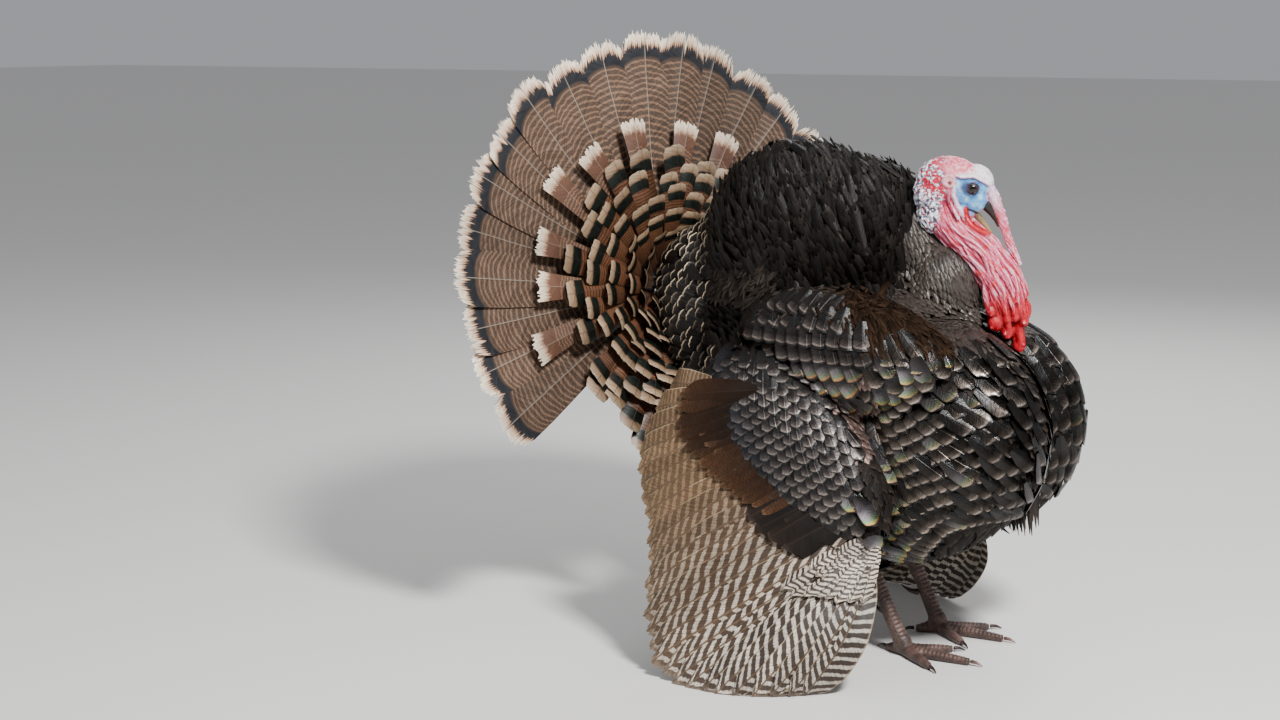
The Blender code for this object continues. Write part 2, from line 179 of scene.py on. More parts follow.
def dropAttributes(mesh, names):
    for name in names:
        if name in mesh.attributes:
            mesh.attributes.remove(mesh.attributes[name])


def lineGap(places, line):
    # how far each place is from a line of points, and its share of the way along
    gaps, runs = np.full(len(places), 1.0), np.zeros(len(places))
    points = np.array(line)
    for k, (a, b) in enumerate(zip(points, points[1:])):
        t = np.clip(((places - a) @ (b - a)) / ((b - a) @ (b - a)), 0, 1)
        away = np.linalg.norm(places - a - t[:, None] * (b - a), axis=1)
        runs = np.where(away < gaps, (k + t) / (len(points) - 1), runs)
        gaps = np.minimum(gaps, away)
    return gaps, runs


def softStep(values, low, high):
    share = np.clip((np.asarray(values, float) - low) / (high - low), 0, 1)
    return share * share * (3 - 2 * share)


# Small helpers for node trees

class Value:
    # a node's output, which sums and products can use
    def __init__(self, tree, socket):
        self.tree = tree
        self.socket = socket

    def __add__(self, other):
        return maths("ADD", self, other)

    def __sub__(self, other):
        return maths("SUBTRACT", self, other)

    def __rsub__(self, other):
        return put(self.tree, "ShaderNodeMath", {0: other, 1: self}, operation="SUBTRACT")

    def __mul__(self, other):
        return maths("MULTIPLY", self, other)


def link(value, socket):
    value.tree.links.new(value.socket, socket)


def put(tree, kind, ins=None, out=0, **settings):
    node = tree.nodes.new(kind)
    for key, value in settings.items():
        setattr(node, key, value)
    for key, value in (ins or {}).items():
        if isinstance(value, Value):
            link(value, node.inputs[key])
        else:
            node.inputs[key].default_value = value
    return Value(tree, node.outputs[out])


def maths(operation, a, b=0.0):
    return put(a.tree, "ShaderNodeMath", {0: a, 1: b}, operation=operation)


def mixed(share, first, second):
    first, second = (colour if isinstance(colour, Value) else (*colour, 1) for colour in (first, second))
    return put(share.tree, "ShaderNodeMix", {0: share, 6: first, 7: second}, out=2, data_type="RGBA")


def scaled(colour, amount):
    return put(colour.tree, "ShaderNodeVectorMath", {0: colour, "Scale": amount}, operation="SCALE")


def ramped(value, stops):
    node = value.tree.nodes.new("ShaderNodeValToRGB")
    link(value, node.inputs[0])
    while len(node.color_ramp.elements) < len(stops):
        node.color_ramp.elements.new(0.5)
    for element, (place, colour) in zip(node.color_ramp.elements, stops):
        element.position = place
        element.color = (*colour, 1)
    return Value(value.tree, node.outputs[0])


def spread(value, low, high, start=0.0, end=1.0):
    # a smooth step from start to end as the value goes from low to high
    ins = {0: value, 1: low, 2: high, 3: start, 4: end}
    return put(value.tree, "ShaderNodeMapRange", ins, interpolation_type="SMOOTHSTEP")


def between(value, start, end, soft):
    # one from start to end, and nothing outside them
    return spread(value, start, start + soft) * spread(value, end, end - 0.02)


def objectPlace(tree):
    return put(tree, "ShaderNodeTexCoord", out="Object")


def noisy(where, scale, detail, roughness=0.5):
    ins = {"Vector": where, "Scale": scale, "Detail": detail, "Roughness": roughness}
    return put(where.tree, "ShaderNodeTexNoise", ins)


def bumped(shader, height, strength, distance):
    link(put(height.tree, "ShaderNodeBump", {"Strength": strength, "Distance": distance, "Height": height}),
         shader["Normal"])


def newGroup(name, inputs, outputs):
    tree = bpy.data.node_groups.new(name, "ShaderNodeTree")
    for socketName, value in inputs:
        socket = tree.interface.new_socket(name=socketName, in_out="INPUT", socket_type="NodeSocketFloat")
        socket.default_value = value
    for socketName in outputs:
        tree.interface.new_socket(name=socketName, in_out="OUTPUT", socket_type="NodeSocketFloat")
    return tree, groupInputs(tree), tree.nodes.new("NodeGroupOutput").inputs


def groupInputs(tree):
    return {socket.name: Value(tree, socket) for socket in tree.nodes.new("NodeGroupInput").outputs}


def newMaterial(name):
    made = bpy.data.materials.new(name)
    made.use_nodes = True
    tree = made.node_tree
    return made, tree, tree.nodes["Principled BSDF"].inputs


def attribute(tree, name, out="Fac"):
    return put(tree, "ShaderNodeAttribute", out=out, attribute_name=name)


# Skin: head, throat, wattles and snood in the head's own frame, then the body under its feathers

headShape = {
    "voxel": 0.00128,
    "smoothing": 2,
    "brow": [(-0.034, 0.0225), (-0.0255, 0.0185), (-0.0155, 0.0155), (0.0015, 0.016), (0.012, 0.0105),
             (0.021, 0.005)],
    "ear": (-0.0325, 0.0105),
    "earRadius": 0.0072,
    "cheekRidge": [(-0.026, 0.004), (-0.025, -0.01), (-0.0215, -0.021), (-0.0155, -0.03), (-0.01, -0.04)],
    "mouthFold": [(-0.0085, -0.0285), (-0.007, -0.0395), (-0.001, -0.0495), (0.0095, -0.057),
                  (0.0235, -0.0625)],
    "mouthSlit": [(-0.006, -0.029), (0.001, -0.0315), (0.008, -0.035)],
    "streaks": (46, 460),       # along the flow and across it, per metre
    "flowAxis": [(-0.041, 0, 0.012), (-0.0405, 0, -0.012), (-0.035, 0, -0.036), (-0.02, 0, -0.06),
                 (0.006, 0, -0.083), (0.027, 0, -0.107), (0.044, 0, -0.133), (0.056, 0, -0.162),
                 (0.064, 0, -0.195), (0.068, 0, -0.23)],
    "throatAxis": [(-0.042, 0, -0.04), (-0.021, 0, -0.058), (0.007, 0, -0.083), (0.026, 0, -0.106),
                   (0.044, 0, -0.132), (0.055, 0, -0.16)],
    "throatRadii": [0.026, 0.028, 0.0285, 0.0295, 0.03, 0.029],
    "throatFlatness": 0.8,
    "throatFolds": 34,
    "foldRadius": 0.0027,
    "warts": 330,
    "wattleWarts": 46,
    "snoodWarts": 46,
}
eyeShape = {"radius": 0.0082, "depth": 0.0064, "spread": 0.0164, "slant": -28, "lidLong": 0.0064,
            "lidHigh": 0.0049}
snoodPath = [(0.014, 0, 0.012), (0.0245, -0.001, -0.005), (0.0375, -0.003, -0.033), (0.047, -0.003, -0.061),
             (0.057, -0.002, -0.086), (0.0678, 0, -0.106)]
snoodRadii = [0.008, 0.0086, 0.0074, 0.0062, 0.0052, 0.0028]


def headBase(shape):
    addBall(shape, (-0.03, 0, 0.005), (0.049, 0.024, 0.0385), 12)
    addBall(shape, (-0.054, 0, -0.016), (0.024, 0.0215, 0.035), -28)
    addBall(shape, (-0.048, 0, -0.036), (0.028, 0.0205, 0.026), -40)
    addBall(shape, (0.004, 0, 0.008), (0.0255, 0.0178, 0.0245), 40)
    addBall(shape, (-0.009, 0, 0.0155), (0.03, 0.0185, 0.018), 26)
    addBall(shape, (0.0, 0, -0.014), (0.0225, 0.0165, 0.0245), 52)
    addBall(shape, (-0.022, 0, -0.03), (0.029, 0.0185, 0.0255), 45)


def throatPlace(t, angle, lift=0.0):
    # angle runs round the throat from its front, and lift stands off its surface
    spec = headShape
    centre = pathPoint(spec["throatAxis"], t)
    along = (pathPoint(spec["throatAxis"], t + 0.02) - pathPoint(spec["throatAxis"], t - 0.02)).normalized()
    front = Vector((0, 1, 0)).cross(along).normalized()
    if front.x < 0:
        front = -front
    girth = np.interp(t, np.linspace(0, 1, len(spec["throatRadii"])), spec["throatRadii"]) + lift
    beside = Vector((0, 1, 0)) * girth * spec["throatFlatness"] * sin(angle)
    return centre + front * girth * cos(angle) + beside


def wattleLumps():
    # place and size of the rounded end of each wattle lobe
    big = [((0.036, -0.012, -0.186), 0.0122), ((0.036, 0.012, -0.184), 0.0122), ((0.043, 0, -0.172), 0.02),
           ((0.066, 0, -0.17), 0.02), ((0.052, -0.01, -0.199), 0.0098), ((0.053, 0.01, -0.197), 0.0098),
           ((0.066, 0, -0.203), 0.01), ((0.069, -0.002, -0.219), 0.0102), ((0.051, -0.015, -0.18), 0.008),
           ((0.03, -0.016, -0.17), 0.0082), ((0.074, -0.01, -0.184), 0.0076),
           ((0.062, -0.014, -0.176), 0.0082)]
    return [(Vector(place), size) for place, size in big]


def flowPlaces(own):
    # how far places in the head's frame are along, in front of and beside the line that the loose skin
    # follows
    line = np.array([pathPoint(headShape["flowAxis"], t) for t in np.linspace(0, 1, 90)])
    steps = np.diff(line, axis=0)
    lengths = np.linalg.norm(steps, axis=1)
    runs = np.concatenate([[0], np.cumsum(lengths)])
    gaps = np.linalg.norm((own[:, None, ::2] - line[None, :, ::2]), axis=2)
    near = np.clip(gaps.argmin(1), 1, len(line) - 2)
    way = line[near + 1] - line[near - 1]
    way /= np.linalg.norm(way, axis=1)[:, None]
    away = own - line[near]
    front = away[:, 0] * -way[:, 2] + away[:, 2] * way[:, 0]
    run = runs[near] + (away * way).sum(1)
    return run, front, own[:, 1]


def creased(mesh):
    # long uneven folds pressed into the loose skin, and a rough crown and nape
    places, normals = vertexArray(mesh), normalArray(mesh)
    run, front, side = flowPlaces(places)
    p, _, r = places.T
    browP, browR = zip(*headShape["brow"])
    loose = softStep(-r, -0.012, 0.02) * softStep(-p + 0.9 * np.clip(-r - 0.03, 0, 1), 0.018, 0.026)
    loose *= softStep(p, -0.066, -0.05) * 0.7 + 0.3
    loose = np.maximum(loose, softStep(-r, 0.06, 0.074)) * softStep(r, -0.186, -0.164)
    rough = softStep(r - np.interp(p, browP, browR), 0.0, 0.004)
    rise = np.zeros(len(places))
    for k in np.flatnonzero((loose > 0.01) | (rough > 0.01)):
        long = noise(Vector((front[k] * 300, side[k] * 300, run[k] * 30)))
        thin = noise(Vector((front[k] * 560, side[k] * 560, run[k] * 60 + 7)))
        bumps = noise(Vector(places[k]) * 330)
        folded = 0.0022 * (0.3 - abs(long)) + 0.001 * (0.3 - abs(thin))
        rise[k] = loose[k] * folded + rough[k] * 0.0007 * bumps
    places += normals * rise[:, None]
    movePlaces(mesh, places)


def buildHead():
    spec = headShape
    draws = np.random.default_rng(7)
    base = bmesh.new()
    headBase(base)
    addTube(base, spec["throatAxis"], [r - 0.001 for r in spec["throatRadii"]])
    base = melted(objectOf(base, "headBase"), 0.003, 3)
    facing = treeOf(base)

    def onHead(p, r, side, lift=0.0):
        hit, normal, _, _ = facing.ray_cast(Vector((p, side * 0.08, r)), Vector((0, -side, 0)))
        if hit is None:
            hit, normal, _, _ = facing.find_nearest(Vector((p, side * 0.01, r)))
        return hit + normal * lift

    shape = bmesh.new()
    headBase(shape)
    throat = [r - 0.0022 for r in spec["throatRadii"]]
    column = bmesh.new()
    addTube(column, spec["throatAxis"], throat, sides=24)
    bmesh.ops.scale(column, vec=(1, spec["throatFlatness"], 1), verts=column.verts)
    spare = bpy.data.meshes.new("column")
    column.to_mesh(spare)
    column.free()
    shape.from_mesh(spare)
    for side in (-1, 1):
        brow = [onHead(p, r, side, -0.0004) for p, r in spec["brow"]]
        addTube(shape, brow, [0.0012, 0.0026, 0.0032, 0.0034, 0.0028, 0.0014])
        ridge = [onHead(p, r, side, -0.0002) for p, r in spec["cheekRidge"]]
        addTube(shape, ridge, [0.0016, 0.0024, 0.0026, 0.0024, 0.0016])
        behind = [onHead(p - 0.0075, r - 0.003, side, -0.0004) for p, r in spec["cheekRidge"]]
        addTube(shape, behind, [0.0014, 0.0024, 0.0028, 0.0024, 0.0016])
        mouth = [onHead(p, r, side, -0.0008) for p, r in spec["mouthFold"]]
        addTube(shape, mouth, [0.0016, 0.003, 0.0036, 0.003, 0.002])
        addBall(shape, onHead(0.001, -0.0445, side, 0.001), (0.0034, 0.003, 0.003))
        earP, earR = spec["ear"]
        ring = []
        for k in range(13):
            angle = 2 * pi * k / 12
            p, r = earP + spec["earRadius"] * cos(angle), earR + spec["earRadius"] * sin(angle)
            ring.append(onHead(p, r, side))
        addTube(shape, ring, [0.0023] * 3)
        addBall(shape, onHead(earP, earR, side, -0.0022), (0.0062, 0.003, 0.0062))
        lids = []
        slant = radians(eyeShape["slant"])
        for k in range(13):
            angle = 2 * pi * k / 12
            a, b = eyeShape["lidLong"] * 1.12 * cos(angle), eyeShape["lidHigh"] * 1.12 * sin(angle)
            p, r = a * cos(slant) - b * sin(slant), a * sin(slant) + b * cos(slant)
            share = min((p * p + r * r) / eyeShape["radius"] ** 2, 0.95)
            q = eyeShape["spread"] + eyeShape["depth"] * sqrt(1 - share)
            lids.append(Vector((p, side * (q - 0.0004), r)))
        addTube(shape, lids, [0.0013, 0.0016, 0.0019, 0.0016, 0.0012, 0.0011, 0.0013])
    for k in range(spec["throatFolds"]):
        around = 2 * pi * (k + 0.5) / spec["throatFolds"]
        phase = draws.uniform(0, 2 * pi)
        start, end = draws.uniform(0.08, 0.34), draws.uniform(0.8, 1.04)
        path, girth = [], []
        for n in range(17):
            t = start + (end - start) * n / 16
            sway = 0.16 * sin(6.0 * t + phase) + 0.07 * sin(19 * t + 2 * phase) + 0.1 * t * sin(2 * around)
            path.append(throatPlace(t, around + sway, -0.0016))
            swell = spec["foldRadius"] * (0.55 + 0.45 * abs(sin(8.5 * t + phase * 3)))
            swell *= 1 + 0.55 * softStep(t, 0.6, 0.95)
            girth.append(swell * (0.15 + 0.85 * sin(pi * n / 16) ** 0.6))
        addTube(shape, path, girth, steps=3)
    for k in range(spec["warts"]):
        # the nape and the back of the crown, thickest down the back
        angle = draws.uniform(-1.15, 1.15)
        r = draws.uniform(-0.062, 0.034)
        away = Vector((-cos(angle), sin(angle), 0))
        start = Vector((-0.04 - 0.25 * max(0, -r - 0.02), 0, r))
        hit, normal, _, _ = facing.ray_cast(start + away * 0.08, -away)
        if hit is None or hit.x > -0.04 + 0.3 * max(0.0, -r - 0.01):
            continue
        size = draws.uniform(0.0015, 0.0031) * (1.15 if r < 0.0 else 0.7)
        radii = (size * draws.uniform(0.7, 1.4), size * draws.uniform(0.7, 1.4), size * 1.1)
        addBall(shape, hit - normal * size * 0.15, radii, draws.uniform(-40, 40), detail=2)
    lumps = wattleLumps()
    for place, size in lumps:
        addBall(shape, place, (size * 0.94, size * 0.9, size * 1.08))
        for k in range(3):
            around = atan2(place.y * 2.2, place.x - 0.052) + draws.uniform(-0.5, 0.5)
            top = throatPlace(draws.uniform(0.62, 0.86), around, -0.0024)
            rest = place + Vector(draws.normal(size=3)).normalized() * size * 0.45
            middle = top.lerp(rest, 0.5) + Vector(draws.normal(size=3)) * 0.0015
            addTube(shape, [top, middle, rest], [0.0016, 0.004, min(0.0062, size * 0.6)])
    for k in range(spec["wattleWarts"]):
        place, size = lumps[int(draws.integers(len(lumps)))]
        way = Vector(draws.normal(size=3)).normalized()
        small = size * draws.uniform(0.22, 0.38)
        spot = place + way * (size - small * 0.35)
        if spot.x > 0.012:
            addBall(shape, spot, (small, small, small), detail=2)
    addTube(shape, snoodPath, snoodRadii, sides=14)
    for _ in range(spec["snoodWarts"]):
        t = draws.uniform(0.05, 0.97)
        girth = np.interp(t, np.linspace(0, 1, len(snoodRadii)), snoodRadii)
        angle = draws.uniform(0, 2 * pi)
        spot = pathPoint(snoodPath, t) + Vector((cos(angle), sin(angle), 0.3)) * girth * 0.8
        addBall(shape, spot, (girth * 0.36, girth * 0.36, girth * 0.46), detail=2)
    head = melted(objectOf(shape, "headForm"), spec["voxel"], spec["smoothing"])
    creased(head.data)
    head.data.transform(headMatrix)
    bpy.data.objects.remove(base)
    return head


bodyShape = {
    "nodes": ["trunk", "neck"] + [f"{part}_{side}" for part in ("thigh", "shoulder", "wing")
                                  for side in ("right", "left")],
    "voxel": 0.0075,
    "coatDepth": 0.015,
    "neckDepth": 0.007,
}


def buildBody():
    spec = bodyShape
    body = melted(mergedCopy("bodyForm", spec["nodes"]), spec["voxel"], 3)
    places, normals = vertexArray(body.data), normalArray(body.data)
    neckTop = bodyPoint(0.02, 0, 0.62)
    nearHead = softStep(np.linalg.norm(places - np.array(neckTop), axis=1), 0.06, 0.16)
    depth = spec["neckDepth"] + (spec["coatDepth"] - spec["neckDepth"]) * nearHead
    places -= normals * depth[:, None]
    movePlaces(body.data, places)
    smooth = body.modifiers.new("smooth", "SMOOTH")
    smooth.factor = 0.5
    smooth.iterations = 4
    return settled(body)


def unite(first, second):
    join = first.modifiers.new("join", "BOOLEAN")
    join.operation = "UNION"
    join.solver = "MANIFOLD"
    join.object = second
    made = settled(first)
    bpy.data.objects.remove(second)
    return made


def smoothedPlaces(mesh, places, rounds):
    ends = np.empty(len(mesh.edges) * 2, np.int32)
    mesh.edges.foreach_get("vertices", ends)
    a, b = ends[0::2], ends[1::2]
    count = np.bincount(ends, minlength=len(places)).astype(float)[:, None]
    for _ in range(rounds):
        total = np.zeros_like(places)
        for axis in range(3):
            total[:, axis] = np.bincount(a, places[b, axis], len(places))
            total[:, axis] += np.bincount(b, places[a, axis], len(places))
        places = 0.5 * places + 0.5 * total / np.maximum(count, 1)
    return places


def markSkin(skin, bareTree):
    # where each patch of the bare skin's colour lies, in the head's own frame
    mesh = skin.data
    places, normals = vertexArray(mesh), normalArray(mesh)
    # fold: how far each point stands out from or sinks below the smoothed skin; the paint uses it for painted
    # shade in the creases and painted highlight on the ridges
    fold = np.einsum("ij,ij->i", places - smoothedPlaces(mesh, places, 14), normals) / 0.0012
    inverse = np.array(headMatrix.inverted())
    own = places @ inverse[:3, :3].T + inverse[:3, 3]
    p, q, r = own.T
    browP, browR = zip(*headShape["brow"])
    brow = np.interp(p, browP, browR)
    cheek = np.interp(-r, [-0.02, 0.0, 0.01, 0.02, 0.03, 0.04],
                      [-0.024, -0.0235, -0.023, -0.0185, -0.015, -0.008])
    blue = softStep(p, cheek - 0.002, cheek + 0.002) * softStep(brow - r, -0.001, 0.003)
    blue *= softStep(-r, 0.042, 0.034) * softStep(p, 0.026, 0.021) * (np.abs(q) > 0.006)
    crown = softStep(r - brow, -0.0015, 0.002) * softStep(p, -0.06, -0.012)
    nape = softStep(-p - 0.28 * np.clip(-r - 0.01, 0, 1), 0.03, 0.044) * softStep(-r, 0.085, 0.055)
    earP, earR = headShape["ear"]
    ear = softStep(np.hypot(p - earP, r - earR), 0.0105, 0.008)
    # earHole marks the ear opening for its painted shade
    earHole = softStep(np.hypot(p - earP - 0.001, r - earR + 0.003), 0.0042, 0.0018)
    hollow = softStep(np.hypot((p + 0.0375) / 1.1, (r + 0.014) / 1.6), 0.0115, 0.004) * (1 - ear)
    flat = np.stack([p, r], 1)
    ridge = softStep(lineGap(flat, headShape["cheekRidge"])[0], 0.0042, 0.0022)
    mouth = softStep(lineGap(flat, headShape["mouthFold"])[0], 0.0048, 0.003)
    # gape marks the mouth's slit for its painted shade
    gape = softStep(lineGap(flat, headShape["mouthSlit"])[0], 0.0021, 0.0011)
    run, front, _ = flowPlaces(own)
    lid = softStep(np.hypot(p, r), 0.0106, 0.008) * (np.abs(q) > 0.012)
    slant = radians(-24)
    longWay, shortWay = p * cos(slant) + r * sin(slant), -p * sin(slant) + r * cos(slant)
    # painted shade: darker blue round the eye and in a thin band just under the brow fold
    deep = softStep(np.hypot(longWay / 1.7, shortWay + 0.003), 0.0125, 0.0075) * softStep(-p, -0.016, 0.012)
    deep = np.maximum(deep, softStep(np.abs(brow - r - 0.0022), 0.0022, 0.0006))
    snood, snoodRun = lineGap(own, snoodPath)
    snood = softStep(snood, 0.0125, 0.0095) * softStep(p, 0.014, 0.02)
    redder = softStep(r - 0.5 * p, 0.014, 0.04) * softStep(p, 0.016, -0.006) * softStep(p, -0.078, -0.05)
    redder = np.maximum(redder, softStep(np.abs(p + 0.043 - 0.2 * np.clip(-r, 0, 1)), 0.009, 0.003)
                        * softStep(-r, -0.02, 0.0))
    edge = np.abs(q) < 0.013
    wattle = softStep(-r - 0.018 * np.clip(fold, -1, 1) + 0.012 * edge, 0.118, 0.17)
    plume = softStep([bareTree.find_nearest(place)[3] for place in places], 0.0004, 0.0022)
    longStreaks, fineStreaks = headShape["streaks"]
    marks = {"fold": fold, "blue": blue, "crown": crown, "nape": nape, "redder": redder, "ear": ear,
             "earHole": earHole, "hollow": hollow, "ridge": ridge, "mouth": mouth, "gape": gape, "lid": lid,
             "snood": snood, "snoodRun": snoodRun, "wattle": wattle, "plume": plume, "deep": deep,
             "flowRun": run * longStreaks, "flowFront": front * fineStreaks, "flowSide": q * fineStreaks}
    for name, values in marks.items():
        writeFloats(mesh, name, values)


def skinPaint():
    paint, tree, shader = newMaterial("bareSkin")
    where = objectPlace(tree)
    fine = noisy(where, 420, 3)
    broad = noisy(where, 95, 3)
    spots = noisy(where, 200, 2)
    flow = {k: attribute(tree, name) for k, name in enumerate(("flowFront", "flowSide", "flowRun"))}
    flow = put(tree, "ShaderNodeCombineXYZ", flow)
    streak = noisy(flow, 1.0, 4, 0.6)
    cells = put(tree, "ShaderNodeTexVoronoi", {"Vector": where, "Scale": 270, "Randomness": 1.0},
                feature="SMOOTH_F1")
    # painted shade and highlight: fold darkens the creases and lightens the ridges and lumps in the throat,
    # wattle, blue, white and lilac ramps below; the streaks and broad patches are the skin's own colour
    shade = (streak - 0.5) * 2.6 + attribute(tree, "fold")
    lumpy = (broad - 0.5) * 1.4 + attribute(tree, "fold")
    throat = ramped(spread(shade, -0.85, 0.85), [(0.0, (0.16, 0.004, 0.022)), (0.25, (0.38, 0.02, 0.06)),
                                                 (0.46, (0.6, 0.075, 0.15)), (0.68, (0.72, 0.155, 0.25)),
                                                 (0.86, (0.8, 0.31, 0.43)), (1.0, (0.88, 0.6, 0.7))])
    flush = ramped(spread(shade, -0.85, 0.85), [(0.0, (0.14, 0.001, 0.006)), (0.35, (0.5, 0.008, 0.022)),
                                                (0.65, (0.72, 0.07, 0.105)), (1.0, (0.86, 0.36, 0.42))])
    throat = mixed(spread(broad, 0.5, 0.64), throat, flush)
    # painted highlight and shade on the wattles and mouth fold: pink on the tops of the lumps, near black in
    # the creases
    red = ramped(spread(lumpy * 0.9 + shade * 0.12, -0.9, 1.2),
                 [(0.0, (0.12, 0.0, 0.004)), (0.35, (0.38, 0.001, 0.008)), (0.72, (0.6, 0.01, 0.024)),
                  (0.9, (0.74, 0.06, 0.08)), (1.0, (0.86, 0.3, 0.33))])
    # painted shade: the nape's warts are pale blue-white on top and dark grey-blue in the gaps between them
    knobs = (0.42 - cells) * 2.6 + lumpy * 0.7
    wart = ramped(spread(knobs, -0.9, 0.75), [(0.0, (0.045, 0.035, 0.07)), (0.28, (0.17, 0.15, 0.22)),
                                              (0.5, (0.42, 0.43, 0.52)), (0.75, (0.7, 0.74, 0.8)),
                                              (1.0, (0.86, 0.88, 0.9))])
    reds = attribute(tree, "redder") * 0.15 + spots
    wart = mixed(spread(reds, 0.585, 0.64), wart, (0.5, 0.01, 0.04))
    blue = ramped(spread(lumpy, -1.2, 1.0), [(0.0, (0.02, 0.045, 0.17)), (0.4, (0.07, 0.25, 0.56)),
                                             (0.7, (0.15, 0.44, 0.74)), (1.0, (0.44, 0.72, 0.88))])
    blue = mixed(spread(broad, 0.5, 0.66, 0.0, 0.8), blue, (0.4, 0.66, 0.84))
    # painted shade round the eye and under the brow
    blue = mixed(attribute(tree, "deep") * 0.9, blue, (0.012, 0.022, 0.11))
    white = ramped(spread(lumpy, -1.0, 0.8), [(0.0, (0.42, 0.12, 0.17)), (0.35, (0.7, 0.46, 0.52)),
                                              (0.65, (0.82, 0.77, 0.8)), (1.0, (0.9, 0.89, 0.91))])
    stain = spread(broad + attribute(tree, "redder") * 0.42, 0.62, 0.8)
    pink = mixed(spread(spots, 0.42, 0.6), (0.7, 0.085, 0.14), (0.8, 0.36, 0.42))
    crown = mixed(stain, white, pink)
    lilac = ramped(spread(shade, -0.9, 0.9),
                   [(0.0, (0.34, 0.1, 0.2)), (0.4, (0.62, 0.44, 0.58)), (1.0, (0.84, 0.8, 0.88))])
    snood = mixed(spread(attribute(tree, "snoodRun"), 0.1, 0.5), lilac, throat)
    ear = mixed(spots, (0.62, 0.2, 0.24), (0.84, 0.52, 0.54))
    # earHole and gape are painted shade: near-black red in the ear opening and along the slit of the mouth
    layers = [("wattle", 1, red), ("hollow", 0.75, (0.24, 0.006, 0.04)), ("nape", 1, wart),
              ("crown", 1, crown), ("blue", 1, blue), ("ridge", 1, lilac), ("ear", 1, ear),
              ("earHole", 1, (0.16, 0.012, 0.02)), ("lid", 1, (0.03, 0.016, 0.034)), ("mouth", 1, red),
              ("gape", 1, (0.025, 0.008, 0.01)), ("snood", 1, snood)]
    colour = throat
    for mask, amount, layer in layers:
        colour = mixed(attribute(tree, mask) * amount, colour, layer)
    speckled = scaled(colour, spread(fine, 0.35, 0.65, 0.84, 1.1))
    colour = mixed(attribute(tree, "plume"), speckled, (0.02, 0.015, 0.012))
    link(colour, shader["Base Color"])
    link(spread(broad, 0.3, 0.7, 0.3, 0.5), shader["Roughness"])
    pores = put(tree, "ShaderNodeTexVoronoi", {"Vector": where, "Scale": 620})
    warty = spread(cells, 0.7, 0.1) * (attribute(tree, "nape") * 2.2)
    height = warty + (streak * 1.6 + (pores * 0.4 + fine * 0.6))
    bumped(shader, height, 0.55, 0.001)
    shader["Subsurface Weight"].default_value = 0.1
    shader["Subsurface Radius"].default_value = (0.004, 0.0012, 0.0008)
    shader["Subsurface Scale"].default_value = 0.5
    return paint


def unwrapped(item, mapName):
    # an unwrap of the skin's own shape, which the coat's bake places share
    for other in bpy.context.selected_objects:
        other.select_set(False)
    item.select_set(True)
    bpy.context.view_layer.objects.active = item
    item.data.uv_layers.new(name=mapName)
    bpy.ops.object.mode_set(mode="EDIT")
    bpy.ops.mesh.select_all(action="SELECT")
    bpy.ops.uv.smart_project(angle_limit=1.15, island_margin=0.002, scale_to_bounds=True)
    bpy.ops.object.mode_set(mode="OBJECT")


def finished(piece, name, paint, slot, *nodes):
    piece.name = name
    piece.data.name = name
    if paint is not None:
        piece.data.materials.clear()
        piece.data.materials.append(paint)
    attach(piece, "root")
    if nodes:
        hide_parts(*nodes)
    return piece


headForm = buildHead()
bareTree = treeOf(headForm)
skin = unite(buildBody(), headForm)
skin.data.shade_smooth()
markSkin(skin, bareTree)
unwrapped(skin, "OFBake")
finished(skin, "skin", skinPaint(), "bare_skin", "head", "throat", "wattle", "snood", *bodyShape["nodes"])
print("skin", len(skin.data.polygons), "faces")


# Eyes, beak, feet and claws

def eyePaint():
    paint, tree, shader = newMaterial("darkEye")
    ring = attribute(tree, "ring")
    where = objectPlace(tree)
    fibre = noisy(where, 900, 2)
    iris = mixed(fibre, (0.01, 0.005, 0.003), (0.024, 0.011, 0.006))
    colour = mixed(spread(ring, 0.42, 0.5), (0.004, 0.003, 0.003), iris)
    colour = mixed(spread(ring, 0.86, 0.97), colour, (0.012, 0.006, 0.006))
    link(colour, shader["Base Color"])
    shader["Roughness"].default_value = 0.06
    shader["Coat Weight"].default_value = 0.25
    shader["Specular IOR Level"].default_value = 0.35
    shader["Coat Roughness"].default_value = 0.02
    return paint


def buildEyes():
    paint = eyePaint()
    spec = eyeShape
    for word, side in sides:
        shape = bmesh.new()
        place = Matrix.Translation((0, side * spec["spread"], 0)) @ Matrix.Rotation(pi / 2, 4, "X")
        size = Matrix.Diagonal((spec["radius"], spec["radius"], spec["depth"], 1))
        bmesh.ops.create_uvsphere(shape, u_segments=40, v_segments=24, radius=1, matrix=place @ size)
        eye = objectOf(shape, "eye")
        places = vertexArray(eye.data)
        writeFloats(eye.data, "ring", np.hypot(places[:, 0], places[:, 2]) / (spec["radius"] * 0.82))
        eye.data.transform(headMatrix)
        eye.data.shade_smooth()
        finished(eye, f"eyeball_{word}", paint, "eye_dark", f"eye_{word}")


def hornPaint(name, dark, pale, paleFrom, paleTo, scale):
    paint, tree, shader = newMaterial(name)
    where = objectPlace(tree)
    grain = noisy(where, scale, 4)
    worn = attribute(tree, "run") + (grain - 0.5) * 0.5
    colour = mixed(spread(worn, paleFrom, paleTo), dark, pale)
    link(colour, shader["Base Color"])
    link(spread(grain, 0.3, 0.7, 0.26, 0.48), shader["Roughness"])
    bumped(shader, grain, 0.25, 0.0004)
    return paint


def rounded(item, levels=2):
    rounding = item.modifiers.new("rounding", "SUBSURF")
    rounding.levels = levels
    rounding.render_levels = levels
    item = settled(item)
    item.data.shade_smooth()
    return item


